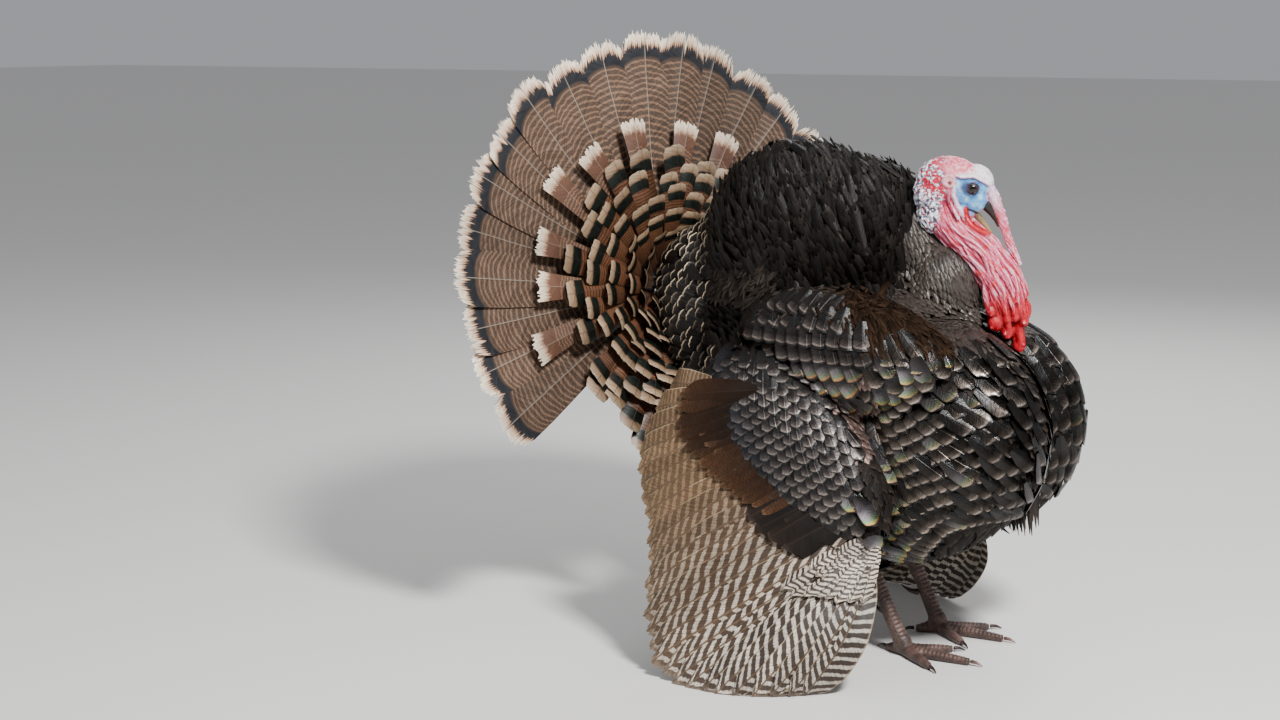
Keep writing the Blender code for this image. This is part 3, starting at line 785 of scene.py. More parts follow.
def buildBeak():
    # run is 0 at the base and 1 at the tip of each half
    paint = hornPaint("beakHorn", (0.014, 0.01, 0.008), (0.13, 0.085, 0.055), 0.66, 1.25, 260)
    lower = hornPaint("beakHornLower", (0.05, 0.03, 0.015), (0.34, 0.23, 0.1), 0.1, 0.85, 260)
    for nodeName, surface in (("beak_upper", paint), ("beak_lower", lower)):
        item = melted(mergedCopy(nodeName, [nodeName]), 0.001, 3)
        item = rounded(item, 1)
        places = vertexArray(item.data)
        run = places[:, 2].max() - places[:, 2]
        writeFloats(item.data, "run", run / run.max())
        finished(item, nodeName + "_horn", surface, "beak_horn", nodeName)


legShape = {
    "voxel": 0.0016,
    "scale": 0.0062,
    "hub": (0.072, 0.066, 0.016), "hock": (0.018, 0.068, 0.122),
    "toes": {"middle": (0, 0.098), "inner": (42, 0.072), "outer": (-40, 0.076), "hind": (158, 0.036)},
}


def markLeg(mesh, side):
    # run counts the scales along the shank and each toe, and face is 1 on their fronts and tops
    places, normals = vertexArray(mesh), normalArray(mesh)
    hub = np.array(bodyPoint(legShape["hub"][0], side * legShape["hub"][1], legShape["hub"][2]))
    hock = np.array(bodyPoint(legShape["hock"][0], side * legShape["hock"][1], legShape["hock"][2]))
    ends = [(hub, hock, np.array([1.0, 0, 0.35]))]
    for angle, length in legShape["toes"].values():
        turn = radians(angle)
        ends.append((hub, hub + np.array([cos(turn), -side * sin(turn), -0.05]) * length,
                     np.array([0, 0, 1.0])))
    best = np.full(len(places), 9.0)
    run = np.zeros(len(places))
    face = np.zeros(len(places))
    for start, end, front in ends:
        line = end - start
        t = ((places - start) @ line) / (line @ line)
        away = np.linalg.norm(places - start - np.clip(t, 0, 1)[:, None] * line, axis=1)
        nearer = away < best
        best = np.where(nearer, away, best)
        run = np.where(nearer, np.clip(t, 0, 1.2) * np.linalg.norm(line) / legShape["scale"], run)
        face = np.where(nearer, normals @ (front / np.linalg.norm(front)), face)
    writeFloats(mesh, "run", run)
    writeFloats(mesh, "face", face)
    step = run % 1.0
    plate = softStep(face, 0.15, 0.55)
    rise = 0.00075 * plate * (np.sin(pi * np.clip(step / 0.82, 0, 1)) ** 0.5 - 0.5)
    places += normals * rise[:, None]
    movePlaces(mesh, places)


def legPaint():
    paint, tree, shader = newMaterial("scalyLeg")
    where = objectPlace(tree)
    step = maths("FRACT", attribute(tree, "run"))
    plate = spread(attribute(tree, "face"), 0.15, 0.55)
    seam = spread(maths("ABSOLUTE", step - 0.5), 0.36, 0.46) * plate
    cells = put(tree, "ShaderNodeTexVoronoi", {"Vector": where, "Scale": 330}, feature="DISTANCE_TO_EDGE")
    pebble = spread(cells, 0.0, 0.22, 1.0, 0.0) * (1.0 - plate)
    dirt = noisy(where, 38, 5)
    flesh = ramped(dirt, [(0.32, (0.036, 0.022, 0.018)), (0.5, (0.082, 0.046, 0.036)),
                          (0.68, (0.155, 0.092, 0.074))])
    gap = maths("MAXIMUM", seam, pebble)
    colour = mixed(gap * 0.8, flesh, (0.025, 0.014, 0.011))
    link(colour, shader["Base Color"])
    shader["Roughness"].default_value = 0.52
    bumped(shader, 1.0 - gap, 0.6, 0.0007)
    return paint


def buildFeet():
    paint = legPaint()
    horn = hornPaint("clawHorn", (0.038, 0.022, 0.018), (0.3, 0.17, 0.13), 0.45, 1.2, 210)
    for word, side in sides:
        foot = melted(mergedCopy("foot", [f"foot_{word}"]), legShape["voxel"], 3)
        foot.data.shade_smooth()
        markLeg(foot.data, side)
        places = vertexArray(foot.data)
        places[:, 2] = np.maximum(places[:, 2], 0.0)
        movePlaces(foot.data, places)
        finished(foot, f"scaly_foot_{word}", paint, "scaly_leg", f"foot_{word}")
        nodes = [f"claw_{toe}_{word}" for toe in legShape["toes"]] + [f"spur_{word}"]
        claws = rounded(mergedCopy("claws", nodes), 2)
        middle = np.array(bodyPoint(legShape["hub"][0], side * legShape["hub"][1], 0.01))
        away = np.linalg.norm(vertexArray(claws.data) - middle, axis=1)
        writeFloats(claws.data, "run", (away - 0.07) / 0.05)
        finished(claws, f"horn_claws_{word}", horn, "claw_horn", *nodes)


buildEyes()
buildBeak()
buildFeet()
print("eyes, beak and feet")


# Feathers: each is a thin closed vane, placed by Geometry Nodes and painted along its own length

def newVanes():
    shape = bmesh.new()
    for name in ("vane", "OFBake"):
        shape.loops.layers.uv.new(name)
    for name in ("tint", "mark"):
        shape.verts.layers.float.new(name)
    return shape


def addVane(shape, place, columns, rows, thick, cell=(0, 0, 1, 1), tint=0.5, mark=0.0):
    # a closed vane: place gives the outer point and the way out at (across, along), each from 0 to 1
    vane, bake = (shape.loops.layers.uv[name] for name in ("vane", "OFBake"))
    tints, marks = (shape.verts.layers.float[name] for name in ("tint", "mark"))
    top = {}
    low = {}
    for i in range(columns + 1):
        for j in range(rows + 1):
            point, out = place(i / columns, j / rows)
            top[i, j] = low[i, j] = shape.verts.new(point)
            if 0 < i < columns and 0 < j < rows:
                low[i, j] = shape.verts.new(point - out * thick)
            for vert in (top[i, j], low[i, j]):
                vert[tints] = tint
                vert[marks] = mark
    for i in range(columns):
        for j in range(rows):
            corners = [(i, j), (i + 1, j), (i + 1, j + 1), (i, j + 1)]
            for grid, order in ((top, corners), (low, corners[::-1])):
                face = shape.faces.new([grid[corner] for corner in order])
                face.smooth = True
                for loop, (a, b) in zip(face.loops, order):
                    loop[vane].uv = (a / columns, b / rows)
                    loop[bake].uv = (cell[0] + cell[2] * a / columns, cell[1] + cell[3] * b / rows)
    rim = [(i, 0) for i in range(columns)] + [(columns, j) for j in range(rows)]
    rim += [(i, rows) for i in range(columns, 0, -1)] + [(0, j) for j in range(rows, 0, -1)]
    for a, b in zip(rim, rim[1:] + rim[:1]):
        edge = shape.edges.get((top[a], top[b]))
        if edge:
            edge.smooth = False


def templates(name, spec, count=3):
    # feathers one unit long and wide, root at the origin, tip along y, outer face up
    made = []
    for k in range(count):
        draws = np.random.default_rng(31 * k + len(name))
        places, widths = zip(*spec["outline"])
        fray = draws.uniform(-1, 1, spec["columns"] + 1) * spec.get("fray", 0.0)
        bent = draws.uniform(-1, 1) * spec.get("bend", 0.0)

        def place(across, along):
            x = 2 * across - 1
            half = 0.5 * np.interp(along, places, widths)
            frayed = fray[round(across * spec["columns"])] * along ** 5
            y = along * (1 - spec["tipRound"] * x * x * along * along) + frayed
            z = 0.02 * (1 - abs(x)) ** 6 * (1 - along) - spec["curl"] * along * along
            z -= spec["cup"] * x * x * half
            return Vector((x * half + bent * along * along, y, z)), Vector((0, 0, 1))

        shape = newVanes()
        addVane(shape, place, spec["columns"], spec["rows"], spec.get("thick", 0.012))
        item = objectOf(shape, f"{name}Vane{k}")
        item.data.uv_layers.remove(item.data.uv_layers["OFBake"])
        dropAttributes(item.data, ("tint", "mark"))
        made.append(item)
    spareObjects.extend(made)
    return made


spareObjects = []


def coatTree():
    # points with turn, size, kind and patch attributes in, realized feathers out
    tree = bpy.data.node_groups.new("featherCoat", "GeometryNodeTree")
    tree.interface.new_socket(name="Geometry", in_out="INPUT", socket_type="NodeSocketGeometry")
    for name in ("Feather A", "Feather B", "Feather C"):
        tree.interface.new_socket(name=name, in_out="INPUT", socket_type="NodeSocketObject")
    tree.interface.new_socket(name="Finish", in_out="INPUT", socket_type="NodeSocketMaterial")
    for name, size in (("Patch Width", 0.003), ("Patch Length", 0.003), ("Flutter", 0.001)):
        socket = tree.interface.new_socket(name=name, in_out="INPUT", socket_type="NodeSocketFloat")
        socket.default_value = size
    tree.interface.new_socket(name="Geometry", in_out="OUTPUT", socket_type="NodeSocketGeometry")
    ins = groupInputs(tree)

    def named(name, kind):
        return put(tree, "GeometryNodeInputNamedAttribute", {"Name": name}, data_type=kind)

    gather = tree.nodes.new("GeometryNodeGeometryToInstance")
    for name in ("Feather C", "Feather B", "Feather A"):
        feather = put(tree, "GeometryNodeObjectInfo", {"Object": ins[name]}, out="Geometry")
        link(feather, gather.inputs[0])
    points = put(tree, "GeometryNodeMeshToPoints", {"Mesh": ins["Geometry"]})
    planted = put(tree, "GeometryNodeInstanceOnPoints", {
        "Points": points, "Instance": Value(tree, gather.outputs[0]), "Pick Instance": True,
        "Instance Index": named("kind", "INT"), "Rotation": named("turn", "QUATERNION"),
        "Scale": named("size", "FLOAT_VECTOR")})
    real = put(tree, "GeometryNodeRealizeInstances", {"Geometry": planted})
    where = put(tree, "GeometryNodeInputPosition")
    ruffle = put(tree, "ShaderNodeTexNoise", {"Vector": where, "Scale": 90.0, "Detail": 1.0}, out="Color")
    centred = put(tree, "ShaderNodeVectorMath", {0: ruffle, 1: (0.5, 0.5, 0.5)}, operation="SUBTRACT")
    vane = named("vane", "FLOAT_VECTOR")
    along = put(tree, "ShaderNodeSeparateXYZ", {0: vane}, out=1)
    amount = ins["Flutter"] * (along * along)
    shake = scaled(centred, amount)
    moved = put(tree, "GeometryNodeSetPosition", {"Geometry": real, "Offset": shake})
    patch = put(tree, "ShaderNodeCombineXYZ", {0: ins["Patch Width"], 1: ins["Patch Length"]})
    inPatch = put(tree, "ShaderNodeVectorMath", {0: vane, 1: (0.5, 0.5, 0)}, operation="SUBTRACT")
    sized = put(tree, "ShaderNodeVectorMath", {0: inPatch, 1: patch}, operation="MULTIPLY")
    laid = put(tree, "ShaderNodeVectorMath", {0: sized, 1: named("patch", "FLOAT_VECTOR")}, operation="ADD")
    mapped = put(tree, "GeometryNodeStoreNamedAttribute",
                 {"Geometry": moved, "Name": "OFBake", "Value": laid}, data_type="FLOAT2", domain="CORNER")
    painted = put(tree, "GeometryNodeSetMaterial", {"Geometry": mapped, "Material": ins["Finish"]})
    link(painted, tree.nodes.new("NodeGroupOutput").inputs[0])
    return tree


feathering = coatTree()
skinTree = treeOf(skin)
skinMap = np.empty(len(skin.data.loops) * 2, np.float32)
skin.data.uv_layers["OFBake"].uv.foreach_get("vector", skinMap)
skinMap = skinMap.reshape(-1, 2)


def patchPlace(root):
    # the root's place on the skin's unwrap
    _, _, index, _ = skinTree.find_nearest(root)
    face = skin.data.polygons[index]
    return skinMap[face.loop_start:face.loop_start + face.loop_total].mean(0)


def newPlan():
    return {"root": [], "turn": [], "size": [], "tint": [], "mark": [], "kind": []}


def plant(plan, tip, outward, along, length, width, lift, curl, draws, mark=0.0, roll=0.0):
    # adds a feather whose tip stands at this point of the coat's surface
    outward = Vector(outward)
    along = Vector(along)
    along = (along - outward * along.dot(outward)).normalized()
    axis = along * cos(lift) + outward * sin(lift)
    up = (outward - axis * outward.dot(axis)).normalized()
    side = axis.cross(up)
    if roll:
        side, up = side * cos(roll) + up * sin(roll), up * cos(roll) - side * sin(roll)
    turn = Matrix((side, axis, up)).transposed()
    root = Vector(tip) - turn @ Vector((0, length, -curl * length))
    quaternion = turn.to_quaternion()
    plan["root"].append(root)
    plan["turn"].append((quaternion.w, quaternion.x, quaternion.y, quaternion.z))
    plan["size"].append((width, length, length))
    plan["tint"].append(draws.random())
    plan["mark"].append(mark)
    plan["kind"].append(int(draws.integers(3)))


def growCoat(name, plan, vanes, paint, slot, *nodes, patch=(0.003, 0.003), flutter=0.001, mirrored=False):
    roots = plan["root"]
    mesh = bpy.data.meshes.new(name)
    mesh.from_pydata(roots, [], [])
    for label, kind, key in (("turn", "QUATERNION", "value"), ("size", "FLOAT_VECTOR", "vector")):
        layer = mesh.attributes.new(label, kind, "POINT")
        layer.data.foreach_set(key, np.array(plan[label], np.float32).ravel())
    patches = np.zeros((len(roots), 3), np.float32)
    patches[:, :2] = [patchPlace(root) for root in roots]
    mesh.attributes.new("patch", "FLOAT_VECTOR", "POINT").data.foreach_set("vector", patches.ravel())
    mesh.attributes.new("kind", "INT", "POINT").data.foreach_set("value", np.array(plan["kind"], np.int32))
    writeFloats(mesh, "tint", plan["tint"])
    writeFloats(mesh, "mark", plan["mark"])
    coat = objectFrom(name, mesh)
    modifier = coat.modifiers.new("feathers", "NODES")
    modifier.node_group = feathering
    values = {"Feather A": vanes[0], "Feather B": vanes[1], "Feather C": vanes[2], "Finish": paint,
              "Patch Width": patch[0], "Patch Length": patch[1], "Flutter": flutter}
    for socket in feathering.interface.items_tree:
        if socket.in_out == "INPUT" and socket.name in values:
            modifier[socket.identifier] = values[socket.name]
    coat = settled(coat)
    dropAttributes(coat.data, ("turn", "size", "patch", "kind"))
    if mirrored:
        layer = coat.data.uv_layers["vane"].uv
        values = np.empty(len(layer) * 2, np.float32)
        layer.foreach_get("vector", values)
        values[0::2] = 1 - values[0::2]
        layer.foreach_set("vector", values)
    print(name, len(roots), "feathers", len(coat.data.polygons) * 2, "triangles")
    return finished(coat, name, None, slot, *nodes)


def barbGroup():
    # fine barbs that run out from the shaft toward the tip
    inputs = [("Tint", 0.5), ("Fineness", 60.0), ("Slant", 0.12)]
    tree, ins, outs = newGroup("barbs", inputs, ["Across", "Along", "Side", "Streak"])
    vane = attribute(tree, "vane", "Vector")
    across = put(tree, "ShaderNodeSeparateXYZ", {0: vane}, out=0)
    along = put(tree, "ShaderNodeSeparateXYZ", {0: vane}, out=1)
    side = maths("ABSOLUTE", across - 0.5) * 2.0
    barb = along - side * ins["Slant"]
    half = maths("SIGN", across - 0.5)
    spot = put(tree, "ShaderNodeCombineXYZ",
               {0: barb * ins["Fineness"], 1: side * 0.9, 2: ins["Tint"] * 53.0 + half})
    streak = noisy(spot, 1.0, 2.0)
    for name, value in (("Across", across), ("Along", along), ("Side", side), ("Streak", streak)):
        link(value, outs[name])
    return tree


barbs = barbGroup()


# what a feather's look holds unless it says otherwise
plainLook = {"fineness": 60.0, "slant": 0.12, "wanderScale": 60.0, "jag": 0.05, "bow": 0.06,
             "streak": 0.25, "vary": 0.2, "rough": 0.5, "specular": 0.35, "bump": 0.35,
             "metal": [(0.0, 0.0), (1.0, 0.0)]}
plainBars = {"wobble": 1.2, "lean": 0.0, "phase": 7.0, "rough": 1.0, "amount": 1.0}


def featherPaint(name, look):
    # look: stops along the feather, then bars, mottling, edges, shaft, a painted light side and shine
    look = {**plainLook, **look}
    paint, tree, shader = newMaterial(name)
    tint, mark = attribute(tree, "tint"), attribute(tree, "mark")
    group = tree.nodes.new("ShaderNodeGroup")
    group.node_tree = barbs
    link(tint, group.inputs["Tint"])
    group.inputs["Fineness"].default_value = look["fineness"]
    group.inputs["Slant"].default_value = look["slant"]
    across, along, side, streak = (Value(tree, socket) for socket in group.outputs)
    where = objectPlace(tree)
    wander = noisy(where, look["wanderScale"], 2)
    jag = (streak - 0.5) * look["jag"]
    bow = side * side * look["bow"]
    run = along + jag + bow
    colour = ramped(run, look["stops"])
    if "markStops" in look:
        colour = mixed(mark, colour, ramped(run, look["markStops"]))
    if "bars" in look:
        bars = {**plainBars, **look["bars"]}
        shift = (wander - 0.5) * bars["wobble"]
        lean = side * bars["lean"]
        count = along * bars["count"] + (shift + lean) + tint * bars["phase"]
        wave = maths("SINE", count * (2 * pi)) + (streak - 0.5) * bars["rough"]
        bar = spread(wave, bars["low"], bars["high"])
        reach = between(run, bars["from"], bars["to"], 0.08)
        amount = bars["amount"]
        if "markAmount" in bars:
            amount = spread(mark, 0.0, 1.0, amount, bars["markAmount"])
        bar = bar * reach * amount
        barColour = bars["colour"]
        if "markColour" in bars:
            barColour = mixed(mark, barColour, bars["markColour"])
        colour = mixed(bar, colour, barColour)
    if "mottle" in look:
        mottle = look["mottle"]
        spots = noisy(where, mottle["scale"], 3, 0.65)
        spotted = spread(spots, 0.5, 0.62) * mottle["amount"]
        reach = between(run, mottle["from"], mottle["to"], 0.05)
        colour = mixed(spotted * reach, colour, mottle["colour"])
    if "edge" in look:
        rim = spread(side, look["edge"][1], 1.0) * look["edge"][2]
        colour = mixed(rim, colour, look["edge"][0])
    if "shaft" in look:
        shaft = spread(side, look["shaft"][1], look["shaft"][1] * 0.5) * look["shaft"][2]
        colour = mixed(shaft, colour, look["shaft"][0])
    level = spread(streak, 0.25, 0.75, 1 - look["streak"], 1 + look["streak"])
    level = level * spread(tint, 0.0, 1.0, 1 - look["vary"], 1 + look["vary"])
    colour = scaled(colour, level)
    # painted light: each feather lighter towards one edge of its vane and darker towards the other
    if "lit" in look:
        dim, bright = look["lit"]
        colour = scaled(colour, spread(across, 0.15, 0.95, dim, bright))
    metal = ramped(run, [(place, (value,) * 3) for place, value in look["metal"]])
    link(colour, shader["Base Color"])
    link(metal, shader["Metallic"])
    rough = spread(streak, 0.3, 0.7, look["rough"] - 0.08, look["rough"] + 0.1)
    link(rough, shader["Roughness"])
    shader["Specular IOR Level"].default_value = look["specular"]
    height = streak + spread(side, 0.06, 0.0) * 1.5
    bumped(shader, height, look["bump"], 0.0006)
    return paint


# The tail: a fan of big barred feathers, with its coverts in front and behind

tailShape = {
    "radius": 0.38, "base": (-0.355, -0.003, 0.494), "facing": (0.89, -0.41, 0.198),
    "top": (-0.31, -0.228, 0.923), "count": 18, "halfAngle": 99, "root": 0.02, "cup": 0.03, "tilt": 0.055,
    "widths": ((0, 0.012), (0.2, 0.04), (0.5, 0.068), (0.8, 0.081), (0.95, 0.082), (1, 0.074)),
    "columns": 48, "rows": 32, "thick": 0.0006,
}
fanFacing = Vector(tailShape["facing"]).normalized()
fanTop = Vector(tailShape["top"])
fanTop = (fanTop - fanFacing * fanTop.dot(fanFacing)).normalized()
fanRight = fanFacing.cross(fanTop)


def fanWay(angle):
    return fanTop * cos(angle) + fanRight * sin(angle)


def fanPoint(angle, radius, forward):
    return bodyPoint(*tailShape["base"]) + fanWay(angle) * radius + fanFacing * forward


def buildTail(paint):
    spec = tailShape
    draws = np.random.default_rng(5)
    places, widths = zip(*spec["widths"])
    shape = newVanes()
    for k in range(spec["count"]):
        share = 1 - (2 * k + 1) / spec["count"]
        angle = radians(spec["halfAngle"]) * share * spec["count"] / (spec["count"] - 1)
        angle += radians(draws.uniform(-1.3, 1.3))
        reach = spec["radius"] * (1 - 0.02 * abs(share) ** 3 + draws.uniform(-0.032, 0.01))
        way = fanWay(angle)
        across = way.cross(fanFacing)
        outer = -1 if share > 0 else 1
        edges = spec["columns"] + 1
        fray = draws.uniform(-1, 1, edges) * 0.009
        fray += np.where(np.arange(edges) % 2, 0.01, -0.01) * draws.uniform(0.3, 1.1, edges)
        for notch in draws.integers(3, spec["columns"] - 3, 3):
            fray[notch] -= draws.uniform(0.01, 0.035)
        roll = spec["tilt"] * outer + draws.uniform(-0.008, 0.008)
        lean = draws.uniform(-0.006, 0.006)

        def place(column, row):
            x = 2 * column - 1
            along = 1 - (1 - row) ** 1.25
            half = 0.5 * np.interp(along, places, widths)
            frayed = fray[round(column * spec["columns"])] * reach * (along > 0.93)
            end = reach * (1 - 0.04 * abs(x) ** 3.2) + frayed
            radius = spec["root"] + (end - spec["root"]) * along
            rise = spec["cup"] * (radius / spec["radius"]) ** 2 + roll * x * half
            rise += lean * along ** 3 - 0.05 * x * x * half
            rise += 0.0012 * (1 - abs(x)) ** 8 + 0.0016 * noise(Vector((x * 1.3, along * 5, k * 3.7)))
            point = bodyPoint(*spec["base"]) + way * radius + across * (x * half) + fanFacing * rise
            return point, fanFacing

        cell = ((k % 6) / 6 + 0.004, (k // 6) / 3 + 0.006, 0.158, 0.318)
        tint, mark = draws.random(), float(draws.random() < 0.3)
        addVane(shape, place, spec["columns"], spec["rows"], spec["thick"], cell, tint, mark)
    fan = objectOf(shape, "tail_feathers")
    finished(fan, "tail_feathers", paint, "tail_barred", "tail")
    print("tail", len(fan.data.polygons) * 2, "triangles")


tailLook = {
    "stops": [(0.0, (0.03, 0.02, 0.015)), (0.55, (0.052, 0.035, 0.026)), (0.838, (0.058, 0.038, 0.028)),
              (0.852, (0.013, 0.014, 0.017)), (0.905, (0.019, 0.02, 0.023)), (0.919, (0.34, 0.19, 0.115)),
              (0.945, (0.66, 0.5, 0.36)), (1.0, (0.82, 0.72, 0.58))],
    "bars": {"count": 36, "colour": (0.178, 0.104, 0.065), "low": 0.15, "high": 0.8, "from": 0.02,
             "to": 0.845, "wobble": 1.2, "lean": 0.5, "rough": 1.1, "amount": 0.85, "phase": 1.5},
    "mottle": {"scale": 460, "amount": 0.42, "colour": (0.17, 0.105, 0.065), "from": 0.05, "to": 0.84},
    "shaft": ((0.22, 0.18, 0.145), 0.022, 0.85), "specular": 0.25,
    "fineness": 130, "slant": 0.1, "bow": 0.012, "jag": 0.03, "wanderScale": 34, "streak": 0.26, "vary": 0.2,
    "rough": 0.52, "bump": 0.45,
}
greaterLook = {
    "stops": [(0.0, (0.04, 0.028, 0.022)), (0.5, (0.06, 0.04, 0.03)), (0.755, (0.07, 0.044, 0.032)),
              (0.775, (0.095, 0.043, 0.026)), (0.885, (0.118, 0.057, 0.035)), (0.91, (0.34, 0.2, 0.125)),
              (0.94, (0.6, 0.46, 0.33)), (1.0, (0.76, 0.66, 0.52))],
    "bars": {"count": 30, "colour": (0.22, 0.105, 0.055), "low": 0.1, "high": 0.8, "from": 0.02, "to": 0.78,
             "wobble": 1.3, "lean": 0.6, "rough": 0.9, "amount": 0.9, "phase": 3.0},
    "mottle": {"scale": 520, "amount": 0.3, "colour": (0.2, 0.11, 0.065), "from": 0.1, "to": 0.78},
    "shaft": ((0.22, 0.16, 0.12), 0.04, 0.6),
    "fineness": 100, "slant": 0.1, "bow": 0.01, "jag": 0.045, "streak": 0.24, "vary": 0.18, "rough": 0.5,
    "bump": 0.4,
}
underLook = {**greaterLook,
    "stops": [(0.0, (0.03, 0.021, 0.016)), (0.55, (0.045, 0.03, 0.022)), (0.8, (0.055, 0.036, 0.026)),
              (0.86, (0.095, 0.045, 0.024)), (0.93, (0.16, 0.085, 0.048)), (0.965, (0.27, 0.18, 0.115)),
              (1.0, (0.38, 0.28, 0.19))],
    "vary": 0.35, "streak": 0.34,
}
mediumLook = {
    "stops": [(0.0, (0.03, 0.016, 0.01)), (0.4, (0.075, 0.031, 0.0145)), (0.745, (0.122, 0.049, 0.022)),
              (0.765, (0.007, 0.009, 0.007)), (0.88, (0.012, 0.015, 0.011)), (0.895, (0.15, 0.085, 0.048)),
              (0.93, (0.24, 0.16, 0.096)), (1.0, (0.33, 0.238, 0.155))],
    "bars": {"count": 24, "colour": (0.022, 0.012, 0.008), "low": 0.0, "high": 0.7, "from": 0.02, "to": 0.76,
             "wobble": 0.8, "rough": 0.8, "amount": 0.85},
    "mottle": {"scale": 1100, "amount": 0.5, "colour": (0.17, 0.095, 0.055), "from": 0.9, "to": 0.985},
    "shaft": ((0.03, 0.02, 0.015), 0.05, 0.5), "metal": [(0.75, 0.0), (0.77, 0.5), (0.87, 0.5), (0.89, 0.0)],
    "fineness": 60, "slant": 0.05, "bow": 0.02, "jag": 0.02, "streak": 0.22, "vary": 0.22, "rough": 0.42,
    "bump": 0.4,
}
greaterShape = {"columns": 26, "rows": 16,
                "outline": ((0, 0.16), (0.35, 0.5), (0.7, 0.74), (0.9, 0.9), (1, 1.0)), "tipRound": 0.025,
                "cup": 0.05, "curl": -0.02, "fray": 0.026, "thick": 0.003}
mediumShape = {"columns": 10, "rows": 12,
               "outline": ((0, 0.2), (0.35, 0.66), (0.7, 0.9), (0.9, 1.0), (0.97, 0.96), (1, 0.84)),
               "tipRound": 0.035, "cup": 0.12, "curl": -0.06, "fray": 0.006, "bend": 0.03, "thick": 0.006}
# each ring: radius, half angle, feathers, length, width, lift in degrees
greaterRings = [(0.262, 99, 10, 0.172, 0.046, 3)]
mediumRings = [(0.206, 97, 12, 0.14, 0.04, 7), (0.176, 99, 13, 0.118, 0.036, 11),
               (0.146, 96, 12, 0.105, 0.034, 19), (0.114, 94, 11, 0.092, 0.031, 30),
               (0.086, 92, 10, 0.08, 0.029, 42)]
# coverts that hang below the fan's two lower edges
lowAngle = 124
lowRings = [(0.25, 17, 4, 0.135, 0.046, 4), (0.212, 20, 5, 0.12, 0.043, 8), (0.176, 22, 5, 0.105, 0.04, 14),
            (0.14, 26, 5, 0.09, 0.036, 22), (0.104, 30, 6, 0.075, 0.034, 30),
            (0.072, 32, 5, 0.062, 0.032, 38)]
underRings = [(0.146, 96, 13, 0.1, 0.038, 4), (0.128, 93, 12, 0.09, 0.036, 6),
              (0.108, 90, 11, 0.078, 0.033, 8), (0.088, 88, 10, 0.068, 0.03, 10),
              (0.066, 84, 8, 0.052, 0.027, 14), (0.042, 80, 7, 0.038, 0.024, 18)]


def plantRings(plan, rings, facing, dome, draws, spread=(0.94, 1.05), middle=0):
    # middle: the angle that the rings are centred on, from the fan's top
    outward = fanFacing * facing
    for radius, halfAngle, count, length, width, lift in rings:
        for k in range(count):
            angle = radians(middle + halfAngle * (2 * (k + draws.uniform(0.25, 0.75)) / count - 1))
            reach = radius * draws.uniform(*spread)
            share = reach / dome["radius"]
            rise = dome["clear"] + dome["depth"] * max(0.0, 1 - share) ** 0.8
            rise = rise * facing + tailShape["cup"] * (reach / tailShape["radius"]) ** 2
            tip = fanPoint(angle, reach, rise)
            turn = angle + radians(draws.uniform(-7, 7))
            plant(plan, tip, outward, fanWay(turn), length, width * draws.uniform(0.92, 1.08),
                  radians(lift + draws.uniform(-3, 3)), 0.03, draws, draws.random())


def buildTailCoverts():
    draws = np.random.default_rng(8)
    greater = featherPaint("greaterCovertPaint", greaterLook)
    medium = featherPaint("mediumCovertPaint", mediumLook)
    greaterVanes, mediumVanes = templates("greater", greaterShape), templates("medium", mediumShape)
    front = {"radius": 0.262, "clear": 0.01, "depth": 0.066}
    plan = newPlan()
    plantRings(plan, greaterRings, 1, front, draws)
    growCoat("greater_tail_coverts", plan, greaterVanes, greater, "tail_barred", "tail_coverts",
             flutter=0.0006)
    plan = newPlan()
    plantRings(plan, mediumRings, 1, front, draws)
    for middle in (lowAngle, -lowAngle):
        plantRings(plan, lowRings, 1, front, draws, (0.88, 1.05), middle)
    growCoat("tail_covert_tips", plan, mediumVanes, medium, "tail_barred", flutter=0.0008)
    plan = newPlan()
    plantRings(plan, underRings, -1, {"radius": 0.15, "clear": 0.008, "depth": 0.034}, draws, (0.84, 1.04))
    growCoat("undertail_feathers", plan, greaterVanes, featherPaint("undertailPaint", underLook),
             "tail_barred", "undertail_coverts", flutter=0.0006)


buildTail(featherPaint("tailPaint", tailLook))
buildTailCoverts()


# The wings' big feathers: secondaries and primaries

wingShape = {
    "elbow": (-0.15, 0.205, 0.395), "wrist": (0.07, 0.212, 0.2), "finger": (0.082, 0.205, 0.172),
    "outline": ((-0.208, 0.222, 0.4), (-0.25, 0.24, 0.305), (-0.244, 0.252, 0.245), (-0.228, 0.265, 0.19),
                (-0.216, 0.28, 0.138), (-0.214, 0.298, 0.085), (-0.198, 0.318, 0.028), (-0.15, 0.335, -0.002),
                (-0.085, 0.342, -0.003), (-0.025, 0.322, -0.003), (0.02, 0.284, -0.001)),
    "leftTuck": (0.02, 0.06), "secondaries": 18, "primaries": 10, "camber": 0.03, "bow": 0.04,
    "columns": 22, "rows": 28, "thick": 0.0006, "tilt": 0.11,
    "width": 0.056, "handWidth": 0.049,
    "widths": ((0, 0.3), (0.2, 0.66), (0.5, 0.95), (0.8, 1.0), (0.93, 0.86), (1, 0.5)),
}


def wingSide(point, side):
    x, y, z = point
    if side > 0:
        tuck = 1 - z / wingShape["elbow"][2]
        x -= wingShape["leftTuck"][0] * tuck
        y -= wingShape["leftTuck"][1] * tuck
    return Vector((x, side * y, z))


def wingRoot(across, side):
    elbow, wrist, finger = (wingSide(wingShape[key], side) for key in ("elbow", "wrist", "finger"))
    hand = wingShape["secondaries"] / (wingShape["secondaries"] + wingShape["primaries"])
    if across < hand:
        return elbow.lerp(wrist, across / hand)
    return wrist.lerp(finger, (across - hand) / (1 - hand))


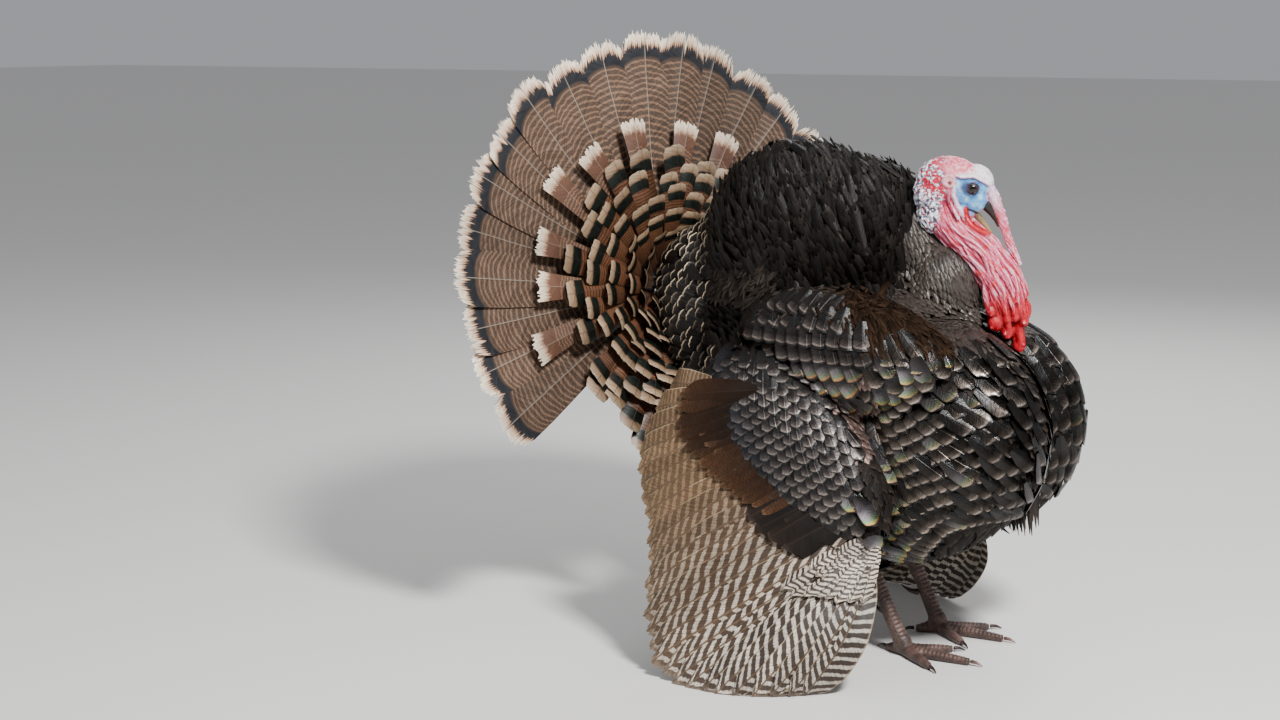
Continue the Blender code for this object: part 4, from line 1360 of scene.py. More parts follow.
def wingPoint(across, along, side):
    tip = pathPoint([wingSide(p, side) for p in wingShape["outline"]], across)
    bulge = sin(pi * along * 0.85)
    camber = Vector((0, side, 0)) * wingShape["camber"] * bulge
    bow = Vector((1, 0, 0)) * wingShape["bow"] * across ** 4 * bulge
    return wingRoot(across, side).lerp(tip, along) + camber + bow


def buildFlight(word, side, paint):
    spec = wingShape
    draws = np.random.default_rng(11 + side)
    places, widths = zip(*spec["widths"])
    count = spec["secondaries"] + spec["primaries"]
    last = 14       # steps along each quill
    shape = newVanes()
    for k in range(count):
        across = (k + 0.5) / count
        hand = k >= spec["secondaries"]
        width = spec["handWidth" if hand else "width"] * draws.uniform(0.96, 1.04)
        spine = [wingPoint(across, t, side) for t in np.linspace(0.02, 1.0, last + 1)]
        spin = []
        for i in range(last + 1):
            along = (spine[min(i + 1, last)] - spine[max(i - 1, 0)]).normalized()
            t = i / last
            wide = wingPoint(min(across + 0.02, 1), t, side) - wingPoint(max(across - 0.02, 0), t, side)
            wide = (wide - along * wide.dot(along)).normalized()
            out = along.cross(wide)
            out = out if out.dot(Vector((0, side, 0))) > 0 else -out
            spin.append((along, wide, out))
        fray = draws.uniform(-1, 1, spec["columns"] + 1) * 0.008
        tilt = spec["tilt"] + draws.uniform(-0.012, 0.012)
        reachShare = draws.uniform(0.975, 1.01)
        along, wide, out = spin[last // 2]
        flip = 1 if along.cross(out).dot(wide) > 0 else -1

        def place(column, row):
            x = (2 * column - 1) * flip
            frayed = fray[round(column * spec["columns"])] * row ** 8
            t = row * reachShare * (1 - 0.05 * x * x * row ** 3) + frayed
            spot = min(max(t, 0), 1) * last
            i = min(int(spot), last - 1)
            middle = spine[i].lerp(spine[i + 1], spot - i)
            along, wide, out = (spin[i][n].lerp(spin[i + 1][n], spot - i) for n in range(3))
            middle = middle + along * max(0.0, t - 1) * 0.2
            half = 0.5 * width * np.interp(row, places, widths)
            sideways = half * (x - 0.28 * (1 - abs(x)))
            rise = -tilt * sideways - 0.06 * half * x * x + 0.001 * (1 - abs(x)) ** 8
            rise += 0.0012 * noise(Vector((x, t * 5, k * 2.3)))
            point = bodyPoint(*(middle + wide * sideways + out * rise))
            point.z = max(point.z, 0.0005)
            return point, out

        cell = ((k % 7) / 7 + 0.003, (k // 7) / 4 + 0.004, 0.136, 0.24)
        mark = min(1.0, max(0.0, (across - 0.3) / 0.45))
        addVane(shape, place, spec["columns"], spec["rows"], spec["thick"], cell, draws.random(), mark)
    wing = objectOf(shape, f"wing_quills_{word}")
    finished(wing, f"wing_quills_{word}", paint, "wing_barred", f"flight_feathers_{word}")
    print("wing", word, len(wing.data.polygons) * 2, "triangles")


flightLook = {
    "stops": [(0.0, (0.05, 0.027, 0.014)), (0.6, (0.095, 0.053, 0.026)), (0.93, (0.12, 0.072, 0.037)),
              (1.0, (0.22, 0.15, 0.085))],
    "markStops": [(0.0, (0.026, 0.019, 0.015)), (0.6, (0.036, 0.026, 0.02)), (0.96, (0.055, 0.04, 0.031)),
                  (1.0, (0.16, 0.12, 0.09))],
    "bars": {"count": 15, "colour": (0.26, 0.175, 0.098), "markColour": (0.56, 0.5, 0.42), "low": -0.1,
             "high": 0.6, "from": 0.02, "to": 0.985, "wobble": 1.1, "lean": 0.9, "rough": 1.1, "amount": 0.5,
             "markAmount": 0.95, "phase": 0.9},
    "mottle": {"scale": 520, "amount": 0.55, "colour": (0.05, 0.03, 0.017), "from": 0.05, "to": 0.98},
    "edge": ((0.36, 0.27, 0.17), 0.9, 0.75), "shaft": ((0.1, 0.062, 0.036), 0.07, 0.95), "specular": 0.25,
    "fineness": 90, "slant": 0.13, "bow": 0.01, "jag": 0.04, "wanderScale": 26, "streak": 0.26, "vary": 0.18,
    "rough": 0.52, "bump": 0.4,
}
flightPaint = featherPaint("flightPaint", flightLook)
for word, side in sides:
    buildFlight(word, side, flightPaint)


# Body feathers, tract by tract: their tips stand on the body's full outline

hull = melted(mergedCopy("hull", bodyShape["nodes"]), bodyShape["voxel"], 2)
hullTree = treeOf(hull)
spareObjects.append(hull)
ownerTrees = {name: treeOf(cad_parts[name]) for name in bodyShape["nodes"]}


def ownerAt(point):
    return min(ownerTrees, key=lambda name: ownerTrees[name].find_nearest(point)[3])


plumage = {
    "breast": {
        "shape": {"columns": 8, "rows": 10,
                  "outline": ((0, 0.4), (0.4, 0.9), (0.7, 1.0), (0.88, 0.92), (0.96, 0.74), (1, 0.5)),
                  "tipRound": 0.09, "cup": 0.09, "curl": 0.06, "fray": 0.012, "bend": 0.03, "thick": 0.008},
        "look": {
            "stops": [(0.0, (0.004, 0.003, 0.0025)), (0.46, (0.007, 0.0055, 0.0045)),
                      (0.68, (0.023, 0.018, 0.0145)), (0.83, (0.072, 0.058, 0.049)),
                      (0.9, (0.24, 0.195, 0.165)), (0.93, (0.005, 0.004, 0.003)),
                      (1.0, (0.004, 0.003, 0.0025))],
            "markStops": [(0.0, (0.005, 0.004, 0.004)), (0.4, (0.04, 0.033, 0.038)),
                          (0.62, (0.19, 0.17, 0.18)), (0.76, (0.17, 0.23, 0.17)), (0.84, (0.27, 0.31, 0.1)),
                          (0.895, (0.48, 0.27, 0.09)), (0.925, (0.01, 0.007, 0.005))],
            "edge": ((0.006, 0.005, 0.004), 0.84, 0.8),
            "metal": [(0.4, 0.3), (0.65, 0.82), (0.905, 0.75), (0.932, 0.1)], "fineness": 60, "slant": 0.18,
            "bow": 0.05, "jag": 0.03, "streak": 0.28, "vary": 0.5, "rough": 0.27, "bump": 0.4,
            "lit": (0.2, 1.6)},
    },
    "scapular": {
        "shape": {"columns": 6, "rows": 10,
                  "outline": ((0, 0.4), (0.4, 0.92), (0.75, 1.0), (0.94, 0.94), (1, 0.74)), "tipRound": 0.06,
                  "cup": 0.09, "curl": 0.05, "fray": 0.015, "bend": 0.03, "thick": 0.008},
        "look": {
            "stops": [(0.0, (0.004, 0.003, 0.0026)), (0.38, (0.007, 0.0056, 0.005)),
                      (0.62, (0.02, 0.0165, 0.0152)), (0.82, (0.062, 0.052, 0.048)),
                      (0.895, (0.185, 0.15, 0.126)), (0.928, (0.006, 0.005, 0.004)),
                      (1.0, (0.005, 0.004, 0.0035))],
            "markStops": [(0.0, (0.006, 0.005, 0.005)), (0.4, (0.034, 0.028, 0.029)),
                          (0.62, (0.16, 0.14, 0.14)), (0.79, (0.16, 0.2, 0.13)), (0.86, (0.38, 0.22, 0.08)),
                          (0.9, (0.28, 0.12, 0.05)), (0.928, (0.01, 0.007, 0.005))],
            "edge": ((0.006, 0.005, 0.005), 0.78, 0.85),
            "metal": [(0.4, 0.3), (0.62, 0.8), (0.9, 0.7), (0.93, 0.1)], "fineness": 64, "slant": 0.18,
            "bow": 0.05, "jag": 0.03, "streak": 0.34, "vary": 0.22, "rough": 0.33, "bump": 0.4,
            "lit": (0.35, 1.35)},
    },
    "scale": {
        "shape": {"columns": 6, "rows": 8,
                  "outline": ((0, 0.4), (0.4, 0.9), (0.7, 1.0), (0.88, 0.9), (0.96, 0.66), (1, 0.36)),
                  "tipRound": 0.12, "cup": 0.1, "curl": 0.06, "fray": 0.008, "bend": 0.04, "thick": 0.01},
        "look": {
            "stops": [(0.0, (0.005, 0.004, 0.004)), (0.42, (0.013, 0.0105, 0.01)),
                      (0.62, (0.034, 0.028, 0.026)), (0.8, (0.105, 0.09, 0.084)),
                      (0.88, (0.27, 0.225, 0.195)), (0.915, (0.006, 0.005, 0.005)),
                      (1.0, (0.005, 0.004, 0.004))],
            "markStops": [(0.0, (0.005, 0.005, 0.006)), (0.5, (0.014, 0.015, 0.02)),
                          (0.8, (0.044, 0.041, 0.043)), (0.93, (0.08, 0.072, 0.07)),
                          (0.96, (0.008, 0.008, 0.008))],
            "edge": ((0.008, 0.007, 0.007), 0.8, 0.85),
            "metal": [(0.4, 0.3), (0.62, 0.8), (0.885, 0.7), (0.915, 0.1)], "fineness": 50, "slant": 0.18,
            "bow": 0.08, "jag": 0.02, "streak": 0.28, "vary": 0.22, "rough": 0.34, "bump": 0.4,
            "lit": (0.5, 1.25)},
    },
    "mantle": {
        "shape": {"columns": 6, "rows": 7,
                  "outline": ((0, 0.4), (0.4, 0.8), (0.8, 1.0), (0.96, 0.96), (1, 0.82)), "tipRound": 0.02,
                  "cup": 0.1, "curl": 0.02, "fray": 0.11, "bend": 0.09, "thick": 0.01},
        "look": {
            "stops": [(0.0, (0.016, 0.01, 0.007)), (0.45, (0.006, 0.0042, 0.0032)),
                      (0.75, (0.0036, 0.0027, 0.0022)), (0.95, (0.005, 0.0038, 0.003)),
                      (1.0, (0.01, 0.0072, 0.0056))],
            "shaft": ((0.014, 0.01, 0.007), 0.12, 0.6), "specular": 0.16,
            "fineness": 26, "slant": 0.25, "streak": 0.45, "vary": 0.45, "rough": 0.5, "bump": 0.6},
    },
    "neck": {
        "shape": {"columns": 4, "rows": 6,
                  "outline": ((0, 0.45), (0.4, 0.95), (0.75, 1.0), (0.92, 0.8), (1, 0.35)), "tipRound": 0.12,
                  "cup": 0.12, "curl": 0.05, "fray": 0.03, "bend": 0.05, "thick": 0.012},
        "look": {
            "stops": [(0.0, (0.01, 0.0075, 0.006)), (0.4, (0.034, 0.026, 0.021)),
                      (0.75, (0.05, 0.039, 0.032)), (0.94, (0.056, 0.044, 0.036)),
                      (1.0, (0.04, 0.031, 0.025))],
            "markStops": [(0.0, (0.006, 0.0045, 0.004)), (0.6, (0.012, 0.009, 0.0075)),
                          (0.96, (0.04, 0.032, 0.027)), (1.0, (0.02, 0.015, 0.012))],
            "edge": ((0.034, 0.026, 0.021), 0.78, 0.55), "metal": [(0.4, 0.1), (0.8, 0.3), (1.0, 0.3)],
            "fineness": 14, "slant": 0.35, "streak": 0.3, "vary": 0.18, "rough": 0.4, "bump": 0.35},
    },
    "rump": {
        "shape": {"columns": 6, "rows": 8,
                  "outline": ((0, 0.35), (0.4, 0.85), (0.78, 1.0), (0.95, 0.96), (1, 0.8)), "tipRound": 0.07,
                  "cup": 0.12, "curl": 0.0, "fray": 0.015, "bend": 0.04, "thick": 0.01},
        "look": {
            "stops": [(0.0, (0.008, 0.006, 0.005)), (0.6, (0.004, 0.0036, 0.0033)),
                      (0.9, (0.007, 0.0062, 0.0055)), (0.957, (0.006, 0.005, 0.004)),
                      (0.968, (0.38, 0.28, 0.18)), (1.0, (0.58, 0.47, 0.34))],
            "markStops": [(0.0, (0.012, 0.009, 0.008)), (0.9, (0.012, 0.01, 0.009)),
                          (1.0, (0.03, 0.022, 0.016))],
            "metal": [(0.5, 0.1), (0.85, 0.3), (0.93, 0.0)], "specular": 0.2,
            "fineness": 40, "slant": 0.18, "bow": 0.0, "jag": 0.01, "streak": 0.3, "vary": 0.3, "rough": 0.44,
            "bump": 0.45},
    },
    "fluff": {
        "shape": {"columns": 6, "rows": 5,
                  "outline": ((0, 0.45), (0.4, 0.95), (0.75, 1.0), (0.92, 0.8), (1, 0.5)), "tipRound": 0.12,
                  "cup": 0.12, "curl": 0.06, "fray": 0.12, "bend": 0.1, "thick": 0.01},
        "look": {
            "stops": [(0.0, (0.006, 0.004, 0.003)), (0.6, (0.008, 0.0055, 0.004)),
                      (0.9, (0.013, 0.009, 0.007)), (1.0, (0.03, 0.021, 0.016))], "specular": 0.15,
            "fineness": 26, "slant": 0.3, "streak": 0.4, "vary": 0.35, "rough": 0.62, "bump": 0.6},
    },
    "down": {
        "shape": {"columns": 4, "rows": 4, "outline": ((0, 0.6), (0.5, 1.0), (0.85, 0.9), (1, 0.6)),
                  "tipRound": 0.0, "cup": 0.14, "curl": 0.1, "fray": 0.3, "bend": 0.18, "thick": 0.006},
        "look": {
            "stops": [(0.0, (0.01, 0.0074, 0.006)), (0.5, (0.018, 0.0138, 0.0112)),
                      (1.0, (0.044, 0.035, 0.029))],
            "markStops": [(0.0, (0.007, 0.004, 0.0024)), (0.5, (0.014, 0.0074, 0.004)),
                          (1.0, (0.032, 0.0175, 0.01))],
            "fineness": 7, "slant": 2.4, "streak": 0.55, "vary": 0.25, "rough": 0.75, "bump": 0.8,
            "specular": 0.05},
    },
    "beard": {
        "shape": {"columns": 2, "rows": 8, "outline": ((0, 0.8), (0.4, 1.0), (0.8, 0.8), (1, 0.2)),
                  "tipRound": 0.0, "cup": 0.1, "curl": 0.04, "fray": 0.02, "bend": 0.6, "thick": 0.006},
        "look": {
            "stops": [(0.0, (0.006, 0.0045, 0.004)), (0.7, (0.01, 0.007, 0.006)),
                      (1.0, (0.03, 0.019, 0.013))],
            "fineness": 4, "slant": 0.2, "streak": 0.4, "vary": 0.4, "rough": 0.42, "bump": 0.3,
            "specular": 0.3},
    },
    "ruddy": {
        "shape": {"columns": 4, "rows": 6,
                  "outline": ((0, 0.45), (0.4, 0.95), (0.75, 1.0), (0.92, 0.8), (1, 0.4)), "tipRound": 0.12,
                  "cup": 0.12, "curl": 0.06, "fray": 0.03, "bend": 0.05, "thick": 0.012},
        "look": {
            "stops": [(0.0, (0.02, 0.01, 0.007)), (0.6, (0.08, 0.046, 0.037)), (0.9, (0.17, 0.125, 0.112)),
                      (1.0, (0.12, 0.05, 0.03))],
            "metal": [(0.4, 0.1), (0.7, 0.5), (0.95, 0.4)], "edge": ((0.05, 0.02, 0.012), 0.75, 0.7),
            "fineness": 20, "slant": 0.3, "streak": 0.35, "vary": 0.4, "rough": 0.42, "bump": 0.5},
    },
    "chestnut": {
        "shape": {"columns": 10, "rows": 12,
                  "outline": ((0, 0.25), (0.35, 0.82), (0.7, 1.0), (0.88, 0.94), (0.96, 0.76), (1, 0.45)),
                  "tipRound": 0.1, "cup": 0.14, "curl": 0.05, "fray": 0.01, "bend": 0.03, "thick": 0.006},
        "look": {
            "stops": [(0.0, (0.006, 0.003, 0.002)), (0.5, (0.017, 0.007, 0.003)),
                      (0.85, (0.036, 0.015, 0.006)), (0.96, (0.052, 0.024, 0.01)),
                      (1.0, (0.085, 0.045, 0.022))],
            "markStops": [(0.0, (0.004, 0.003, 0.0024)), (0.6, (0.0056, 0.0042, 0.0035)),
                          (0.9, (0.0085, 0.0062, 0.0052)), (1.0, (0.02, 0.015, 0.0125))],
            "bars": {"count": 26, "colour": (0.01, 0.005, 0.003), "markColour": (0.006, 0.004, 0.003),
                     "low": 0.2, "high": 1.1, "from": 0.3, "to": 0.97, "wobble": 1.6, "lean": 0.8,
                     "rough": 1.6, "amount": 0.55},
            "shaft": ((0.02, 0.012, 0.008), 0.06, 0.7), "metal": [(0.3, 0.0), (0.6, 0.15), (1.0, 0.05)],
            "fineness": 90, "slant": 0.16, "streak": 0.35, "vary": 0.3, "rough": 0.55, "bump": 0.4,
            "specular": 0.12},
    },
    "checker": {
        "shape": {"columns": 8, "rows": 8,
                  "outline": ((0, 0.35), (0.4, 0.9), (0.75, 1.0), (0.92, 0.84), (1, 0.45)), "tipRound": 0.12,
                  "cup": 0.12, "curl": 0.05, "fray": 0.012, "bend": 0.03, "thick": 0.008},
        "look": {
            "stops": [(0.0, (0.03, 0.022, 0.018)), (0.9, (0.05, 0.038, 0.03)), (1.0, (0.3, 0.23, 0.17))],
            "bars": {"count": 7, "colour": (0.58, 0.5, 0.4), "low": -0.25, "high": 0.25, "from": 0.1,
                     "to": 0.985, "wobble": 1.0, "lean": 0.8, "rough": 0.8, "amount": 0.9},
            "shaft": ((0.05, 0.035, 0.025), 0.09, 0.8),
            "fineness": 46, "slant": 0.16, "streak": 0.25, "vary": 0.2, "rough": 0.5, "bump": 0.4},
    },
}
taken = {}      # planted tips, in cells this wide, so that fillers keep clear
cellWidth = 0.02


def cellOf(point):
    return tuple(int(value // cellWidth) for value in point)


def take(point):
    taken.setdefault(cellOf(point), []).append(point)


def isClear(point, gap):
    a, b, c = cellOf(point)
    for cell in ((a + i, b + j, c + k) for i in (-1, 0, 1) for j in (-1, 0, 1) for k in (-1, 0, 1)):
        if any((other - point).length < gap for other in taken.get(cell, ())):
            return False
    return True


bareNodes = [treeOf(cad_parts[name]) for name in ("head", "throat", "wattle", "snood")]


def nearBare(point, gap):
    return any(tree.find_nearest(point)[3] < gap for tree in bareNodes)


def birdPlace(point):
    return point - standPoint


def raySpots(centre, tilt, rows, columnGap, azimuths, side):
    # spots on the hull in columns that run from pole to pole round a centre, with the way down each column;
    # azimuth runs from straight ahead to that side, and tilt leans the upper pole back
    middle = bodyPoint(centre[0], side * centre[1], centre[2])
    lean = Matrix.Rotation(radians(-tilt), 3, "Y")
    for azimuth in np.radians(np.arange(azimuths[0], azimuths[1], columnGap)):
        for e in np.radians(rows):
            way = lean @ Vector((cos(e) * cos(azimuth), side * cos(e) * sin(azimuth), sin(e)))
            down = lean @ Vector((sin(e) * cos(azimuth), side * sin(e) * sin(azimuth), -cos(e)))
            hit, normal, _, _ = hullTree.ray_cast(middle, way)
            if hit is not None:
                yield hit, (normal if normal.dot(way) > 0 else -normal), down, e


def columnSpots(tops, drop, rowGap, bend, side, stagger=0.0):
    # spots on the hull's side in columns; bend(share of the drop) is how far forward a column has moved
    count = int(drop / rowGap)
    for m, (x, z) in enumerate(tops):
        for n in range(count + 1):
            t = (n + stagger * (m % 2)) / count
            here, after = bend(t), bend(t + 0.05)
            start = bodyPoint(x + here, side * 0.5, z - drop * t)
            hit, normal, _, _ = hullTree.ray_cast(start, Vector((0, -side, 0)))
            if hit is not None and side * birdPlace(hit).y > 0.04:
                yield hit, normal, Vector((after - here, 0, -0.05 * drop)).normalized()


def gridTops(low, high, gap, z, slope=0.0):
    return [(x, z + slope * (x - low)) for x in np.arange(low, high, gap)]


def onBreast(place):
    return place.x > 0.068 and place.z < 0.447


def growBreast(word, side, vanes, paint):
    draws = np.random.default_rng(21 + side)
    plan = newPlan()
    for hit, normal, down, e in raySpots((0.112, 0.07, 0.3), 30, np.arange(68, -66, -9.8), 9.2, (-52, 168),
                                         side):
        place = birdPlace(hit)
        if side * place.y < 0.003 or ownerAt(hit) == "neck" or not onBreast(place) or nearBare(hit, 0.004):
            continue
        ahead = softStep(place.x, 0.095, 0.2) * softStep(place.z, 0.43, 0.34)
        ahead = ahead * softStep(side * place.y, 0.02, 0.06)
        flow = down + Vector((1.5, -0.4 * side, -0.1)) * float(ahead) + Vector(draws.normal(size=3)) * 0.06
        size = draws.uniform(0.93, 1.08)
        wide = max(0.55, cos(e)) ** 0.8
        back = softStep(0.135 - place.x, 0.0, 0.05)
        glow = float(back * softStep(0.3 - place.z, -0.02, 0.06) + 0.25 * (draws.random() < 0.06))
        plant(plan, hit + normal * 0.004, normal, flow, 0.054 * size * (0.75 + 0.25 * wide),
              0.031 * size * wide, radians(16 + draws.uniform(-3, 4)), 0.06, draws, min(1.0, glow),
              roll=-side * 0.22)
        # painted shade: feathers at the front and low on the breast get a darker tint
        shadow = softStep(place.x, 0.15, 0.24) * softStep(0.42 - place.z, -0.02, 0.08)
        plan["tint"][-1] = float(0.6 - 0.5 * shadow + draws.uniform(-0.3, 0.3))
        take(hit)
    growCoat(f"breast_feathers_{word}", plan, vanes, paint, "plumage", flutter=0.0015, mirrored=side > 0)


def growScapulars(word, side, vanes, paint):
    draws = np.random.default_rng(31 + side)
    plan = newPlan()

    def bulge(t):
        return -0.02 * sin(pi * min(t * 1.1, 1.0)) + 0.045 * t ** 2.2

    tops = gridTops(-0.165, 0.12, 0.02, 0.515)
    for hit, normal, down in columnSpots(tops, 0.165, 0.019, bulge, side):
        place = birdPlace(hit)
        if not ownerAt(hit).startswith("shoulder") or onBreast(place) or nearBare(hit, 0.004):
            continue
        if place.x > 0.085 or place.z > 0.512 - 0.7 * max(0.0, place.x + 0.015):
            continue
        size = draws.uniform(0.95, 1.07)
        flow = down + Vector(draws.normal(size=3)) * 0.04
        glow = float(softStep(abs(place.x - 0.02), 0.065, 0.02) * softStep(0.425 - place.z, -0.01, 0.02))
        plant(plan, hit + normal * 0.005, normal, flow, 0.04 * size, 0.0255 * size,
              radians(16 + draws.uniform(-2, 3)), 0.06, draws, glow, roll=-side * 0.24)
        take(hit)
    growCoat(f"shoulder_feathers_{word}", plan, vanes, paint, "plumage", flutter=0.0015, mirrored=side > 0)


def growWingScales(word, side, vanes, paint):
    draws = np.random.default_rng(36 + side)
    plan = newPlan()

    def lean(t):
        return 0.105 * t - 0.012 * sin(pi * t)

    tops = gridTops(-0.27, 0.08, 0.0142, 0.44)
    for hit, normal, down in columnSpots(tops, 0.285, 0.0158, lean, side, 0.5):
        place = birdPlace(hit)
        if not ownerAt(hit).startswith("wing") or onBreast(place):
            continue
        size = draws.uniform(0.88, 1.16)
        flow = down + Vector(draws.normal(size=3)) * 0.09
        rear = place.x - 0.62 * (0.4 - place.z) + 0.145
        dark = float(softStep(0.045 - rear, 0.0, 0.05))
        plant(plan, hit + normal * 0.004, normal, flow, 0.034 * size, 0.0198 * size * (1 + 0.25 * dark),
              radians(14 + draws.uniform(-2, 3)), 0.06, draws, min(1.0, dark + 0.25 * draws.random()),
              roll=-side * 0.12)
        take(hit)
    growCoat(f"wing_scales_{word}", plan, vanes, paint, "plumage", mirrored=side > 0)


# rows of coverts over the roots of the wing's quills, then a few broad dark ones that hang over them:
# reach at each end, count, span, length, width and mark at each end
covertRows = [
    ((0.66, 0.27), 14, (0.01, 0.44), 0.12, 0.04, (0.35, 0.0)),
    ((0.48, 0.18), 13, (0.02, 0.44), 0.1, 0.037, (0.6, 0.1)),
    ((0.36, 0.25), 4, (0.4, 0.57), 0.078, 0.054, (1.0, 1.0)),
    ((0.25, 0.13), 4, (0.42, 0.57), 0.066, 0.05, (1.0, 1.0)),
    ((0.27, 0.27), 1, (0.68, 0.72), 0.078, 0.03, (1.0, 1.0)),
]
checkerRows = [((0.36, 0.3), 8, (0.62, 1.0), 0.06, 0.024, (0, 1)),
               ((0.25, 0.18), 9, (0.62, 1.0), 0.052, 0.022, (0, 1)),
               ((0.14, 0.08), 9, (0.64, 1.0), 0.045, 0.02, (0, 1))]


def plantCovertRows(plan, rows, side, draws):
    for reaches, count, span, length, width, marks in rows:
        for k in range(count):
            share = (k + draws.uniform(0.35, 0.65)) / count
            across = span[0] + (span[1] - span[0]) * share
            reach = reaches[0] + (reaches[1] - reaches[0]) * share + draws.uniform(-0.01, 0.01)
            here, back = wingPoint(across, reach, side), wingPoint(across, reach - 0.1, side)
            aside = wingPoint(min(across + 0.03, 1), reach, side)
            aside = aside - wingPoint(max(across - 0.03, 0), reach, side)
            flow = (here - back).normalized()
            out = flow.cross(aside).normalized()
            out = out if out.y * side > 0 else -out
            tip = bodyPoint(*(here + out * (0.008 + 0.003 * draws.random())))
            mark = marks[0] + (marks[1] - marks[0]) * share + draws.uniform(-0.12, 0.12)
            plant(plan, tip, out, flow + Vector(draws.normal(size=3)) * 0.03, length,
                  width * draws.uniform(0.94, 1.06), radians(4), 0.04, draws, min(1.0, max(0.0, mark)),
                  roll=side * 0.05)
            take(tip)


def growWingCoverts(word, side):
    draws = np.random.default_rng(41 + side)
    plan = newPlan()
    plantCovertRows(plan, covertRows, side, draws)
    growCoat(f"wing_coverts_{word}", plan, vanesOf["chestnut"], paintOf["chestnut"], "plumage")
    plan = newPlan()
    plantCovertRows(plan, checkerRows, side, draws)
    growCoat(f"checkered_coverts_{word}", plan, vanesOf["checker"], paintOf["checker"], "wing_barred")


fillerRules = {
    "tries": 170000,
    "closest": 0.0027,
    "bareGap": 0.012, "neckBareGap": 0.005,     # clear of the bare skin
    "loose": {"mantle": 0.14, "fluff": 0.14, "down": 0.3}, "plainLoose": 0.05,
    "underWing": (0.15, 0.12),      # nothing grows this far out below this height
}
# each filler: spacing, length, width, lift, the way its feathers lie and how far its tips stand off
fillers = {
    "mantle": {"gap": 0.0088, "length": 0.058, "width": 0.0145, "lift": (20, 42), "flow": (-0.35, 0, 1),
               "clear": 0.01},
    "neck": {"gap": 0.0055, "length": 0.021, "width": 0.0092, "lift": (11, 14), "flow": (0.3, 0, -1),
             "clear": 0.0006},
    "rump": {"gap": 0.0125, "length": 0.046, "width": 0.024, "lift": (20, 40), "flow": (-1, 0, 0.45),
             "clear": 0.003},
    "fluff": {"gap": 0.012, "length": 0.04, "width": 0.02, "lift": (14, 26), "flow": (-0.25, 0, -1),
              "clear": 0.002},
    "down": {"gap": 0.005, "length": 0.024, "width": 0.0075, "lift": (9, 22), "flow": (-0.6, 0, -0.8),
             "clear": 0.004},
    "cape": {"gap": 0.015, "length": 0.042, "width": 0.0285, "lift": (15, 20), "flow": (0.25, 0, -1),
             "clear": 0.003},
    "ruddy": {"gap": 0.0072, "length": 0.022, "width": 0.011, "lift": (10, 18), "flow": (0.35, 0, -1),
              "clear": 0.001},
}


def fillerAt(place, owner):
    if owner == "neck" or (owner == "trunk" and place.x > 0.05 and place.z > 0.43):
        return "neck"
    if owner.startswith("shoulder"):
        if place.z > (0.445 if place.x > 0.01 else 0.48) and place.x > -0.14:
            return "down"
        if place.x > 0.075:
            return "cape"
        return "ruddy" if place.x > -0.02 and place.z < 0.41 else "fluff"
    if owner.startswith("wing"):
        if place.x > 0.075 and place.z > 0.3:
            return "cape"
        return "ruddy" if place.x > 0.0 and place.z > 0.3 else "fluff"
    if owner.startswith("thigh") or place.z < 0.27:
        return "fluff"
    if place.x < -0.235:
        return "rump"
    fuzzTop = 0.535 + 0.035 * noise(place * 14)
    if 0.49 < place.z < fuzzTop and abs(place.y) > 0.07 and place.x < 0.04:
        return "down"
    if owner == "trunk" and place.z > 0.44:
        return "mantle"
    return "rump" if place.x < -0.1 else "fluff"


def growFillers(vanes, paints):
    draws = np.random.default_rng(51)
    mesh = hull.data
    mesh.calc_loop_triangles()
    corners = vertexArray(mesh)[np.array([t.vertices[:] for t in mesh.loop_triangles])]
    areas = np.linalg.norm(np.cross(corners[:, 1] - corners[:, 0], corners[:, 2] - corners[:, 0]), axis=1)
    rules = fillerRules
    count = rules["tries"]
    picked = draws.choice(len(corners), count, p=areas / areas.sum())
    shares = draws.random((count, 2))
    flipped = shares.sum(1) > 1
    shares[flipped] = 1 - shares[flipped]
    spots = corners[picked, 0] + shares[:, :1] * (corners[picked, 1] - corners[picked, 0])
    spots += shares[:, 1:] * (corners[picked, 2] - corners[picked, 0])
    plans = {name: newPlan() for name in fillers}
    for spot in spots:
        point = Vector(spot)
        if not isClear(point, rules["closest"]):
            continue
        place = birdPlace(point)
        name = fillerAt(place, ownerAt(point))
        spec = fillers[name]
        bareGap = rules["neckBareGap" if name == "neck" else "bareGap"]
        if not isClear(point, spec["gap"]) or nearBare(point, bareGap):
            continue
        if abs(place.y) > rules["underWing"][0] and place.z < rules["underWing"][1]:
            continue
        _, normal, _, _ = hullTree.find_nearest(point)
        loose = rules["loose"].get(name, rules["plainLoose"])
        flow = Vector(spec["flow"]) + Vector(draws.normal(size=3)) * loose
        if name == "down" and place.x > -0.02 and place.z < 0.5:
            flow += Vector((1.2, 0, -0.6))
        size = draws.uniform(0.85, 1.18)
        mark = draws.random()
        if name == "neck":
            mark = float(softStep(0.085 - place.x, 0.0, 0.05))
        if name == "down":
            mark = float(softStep(place.x, -0.05, 0.02))
        plant(plans[name], point + normal * spec["clear"] * draws.uniform(0, 1.3), normal, flow,
              spec["length"] * size, spec["width"] * size, radians(draws.uniform(*spec["lift"])), 0.04, draws,
              mark)
        take(point)
    for name, plan in plans.items():
        growCoat(f"{name}_feathers", plan, vanes[name], paints[name], "plumage")


beardSpread = {"strands": 130, "root": (0.213, 0.0, 0.285), "girth": (0.02, 0.01), "length": (0.05, 0.104),
               "width": 0.0034}


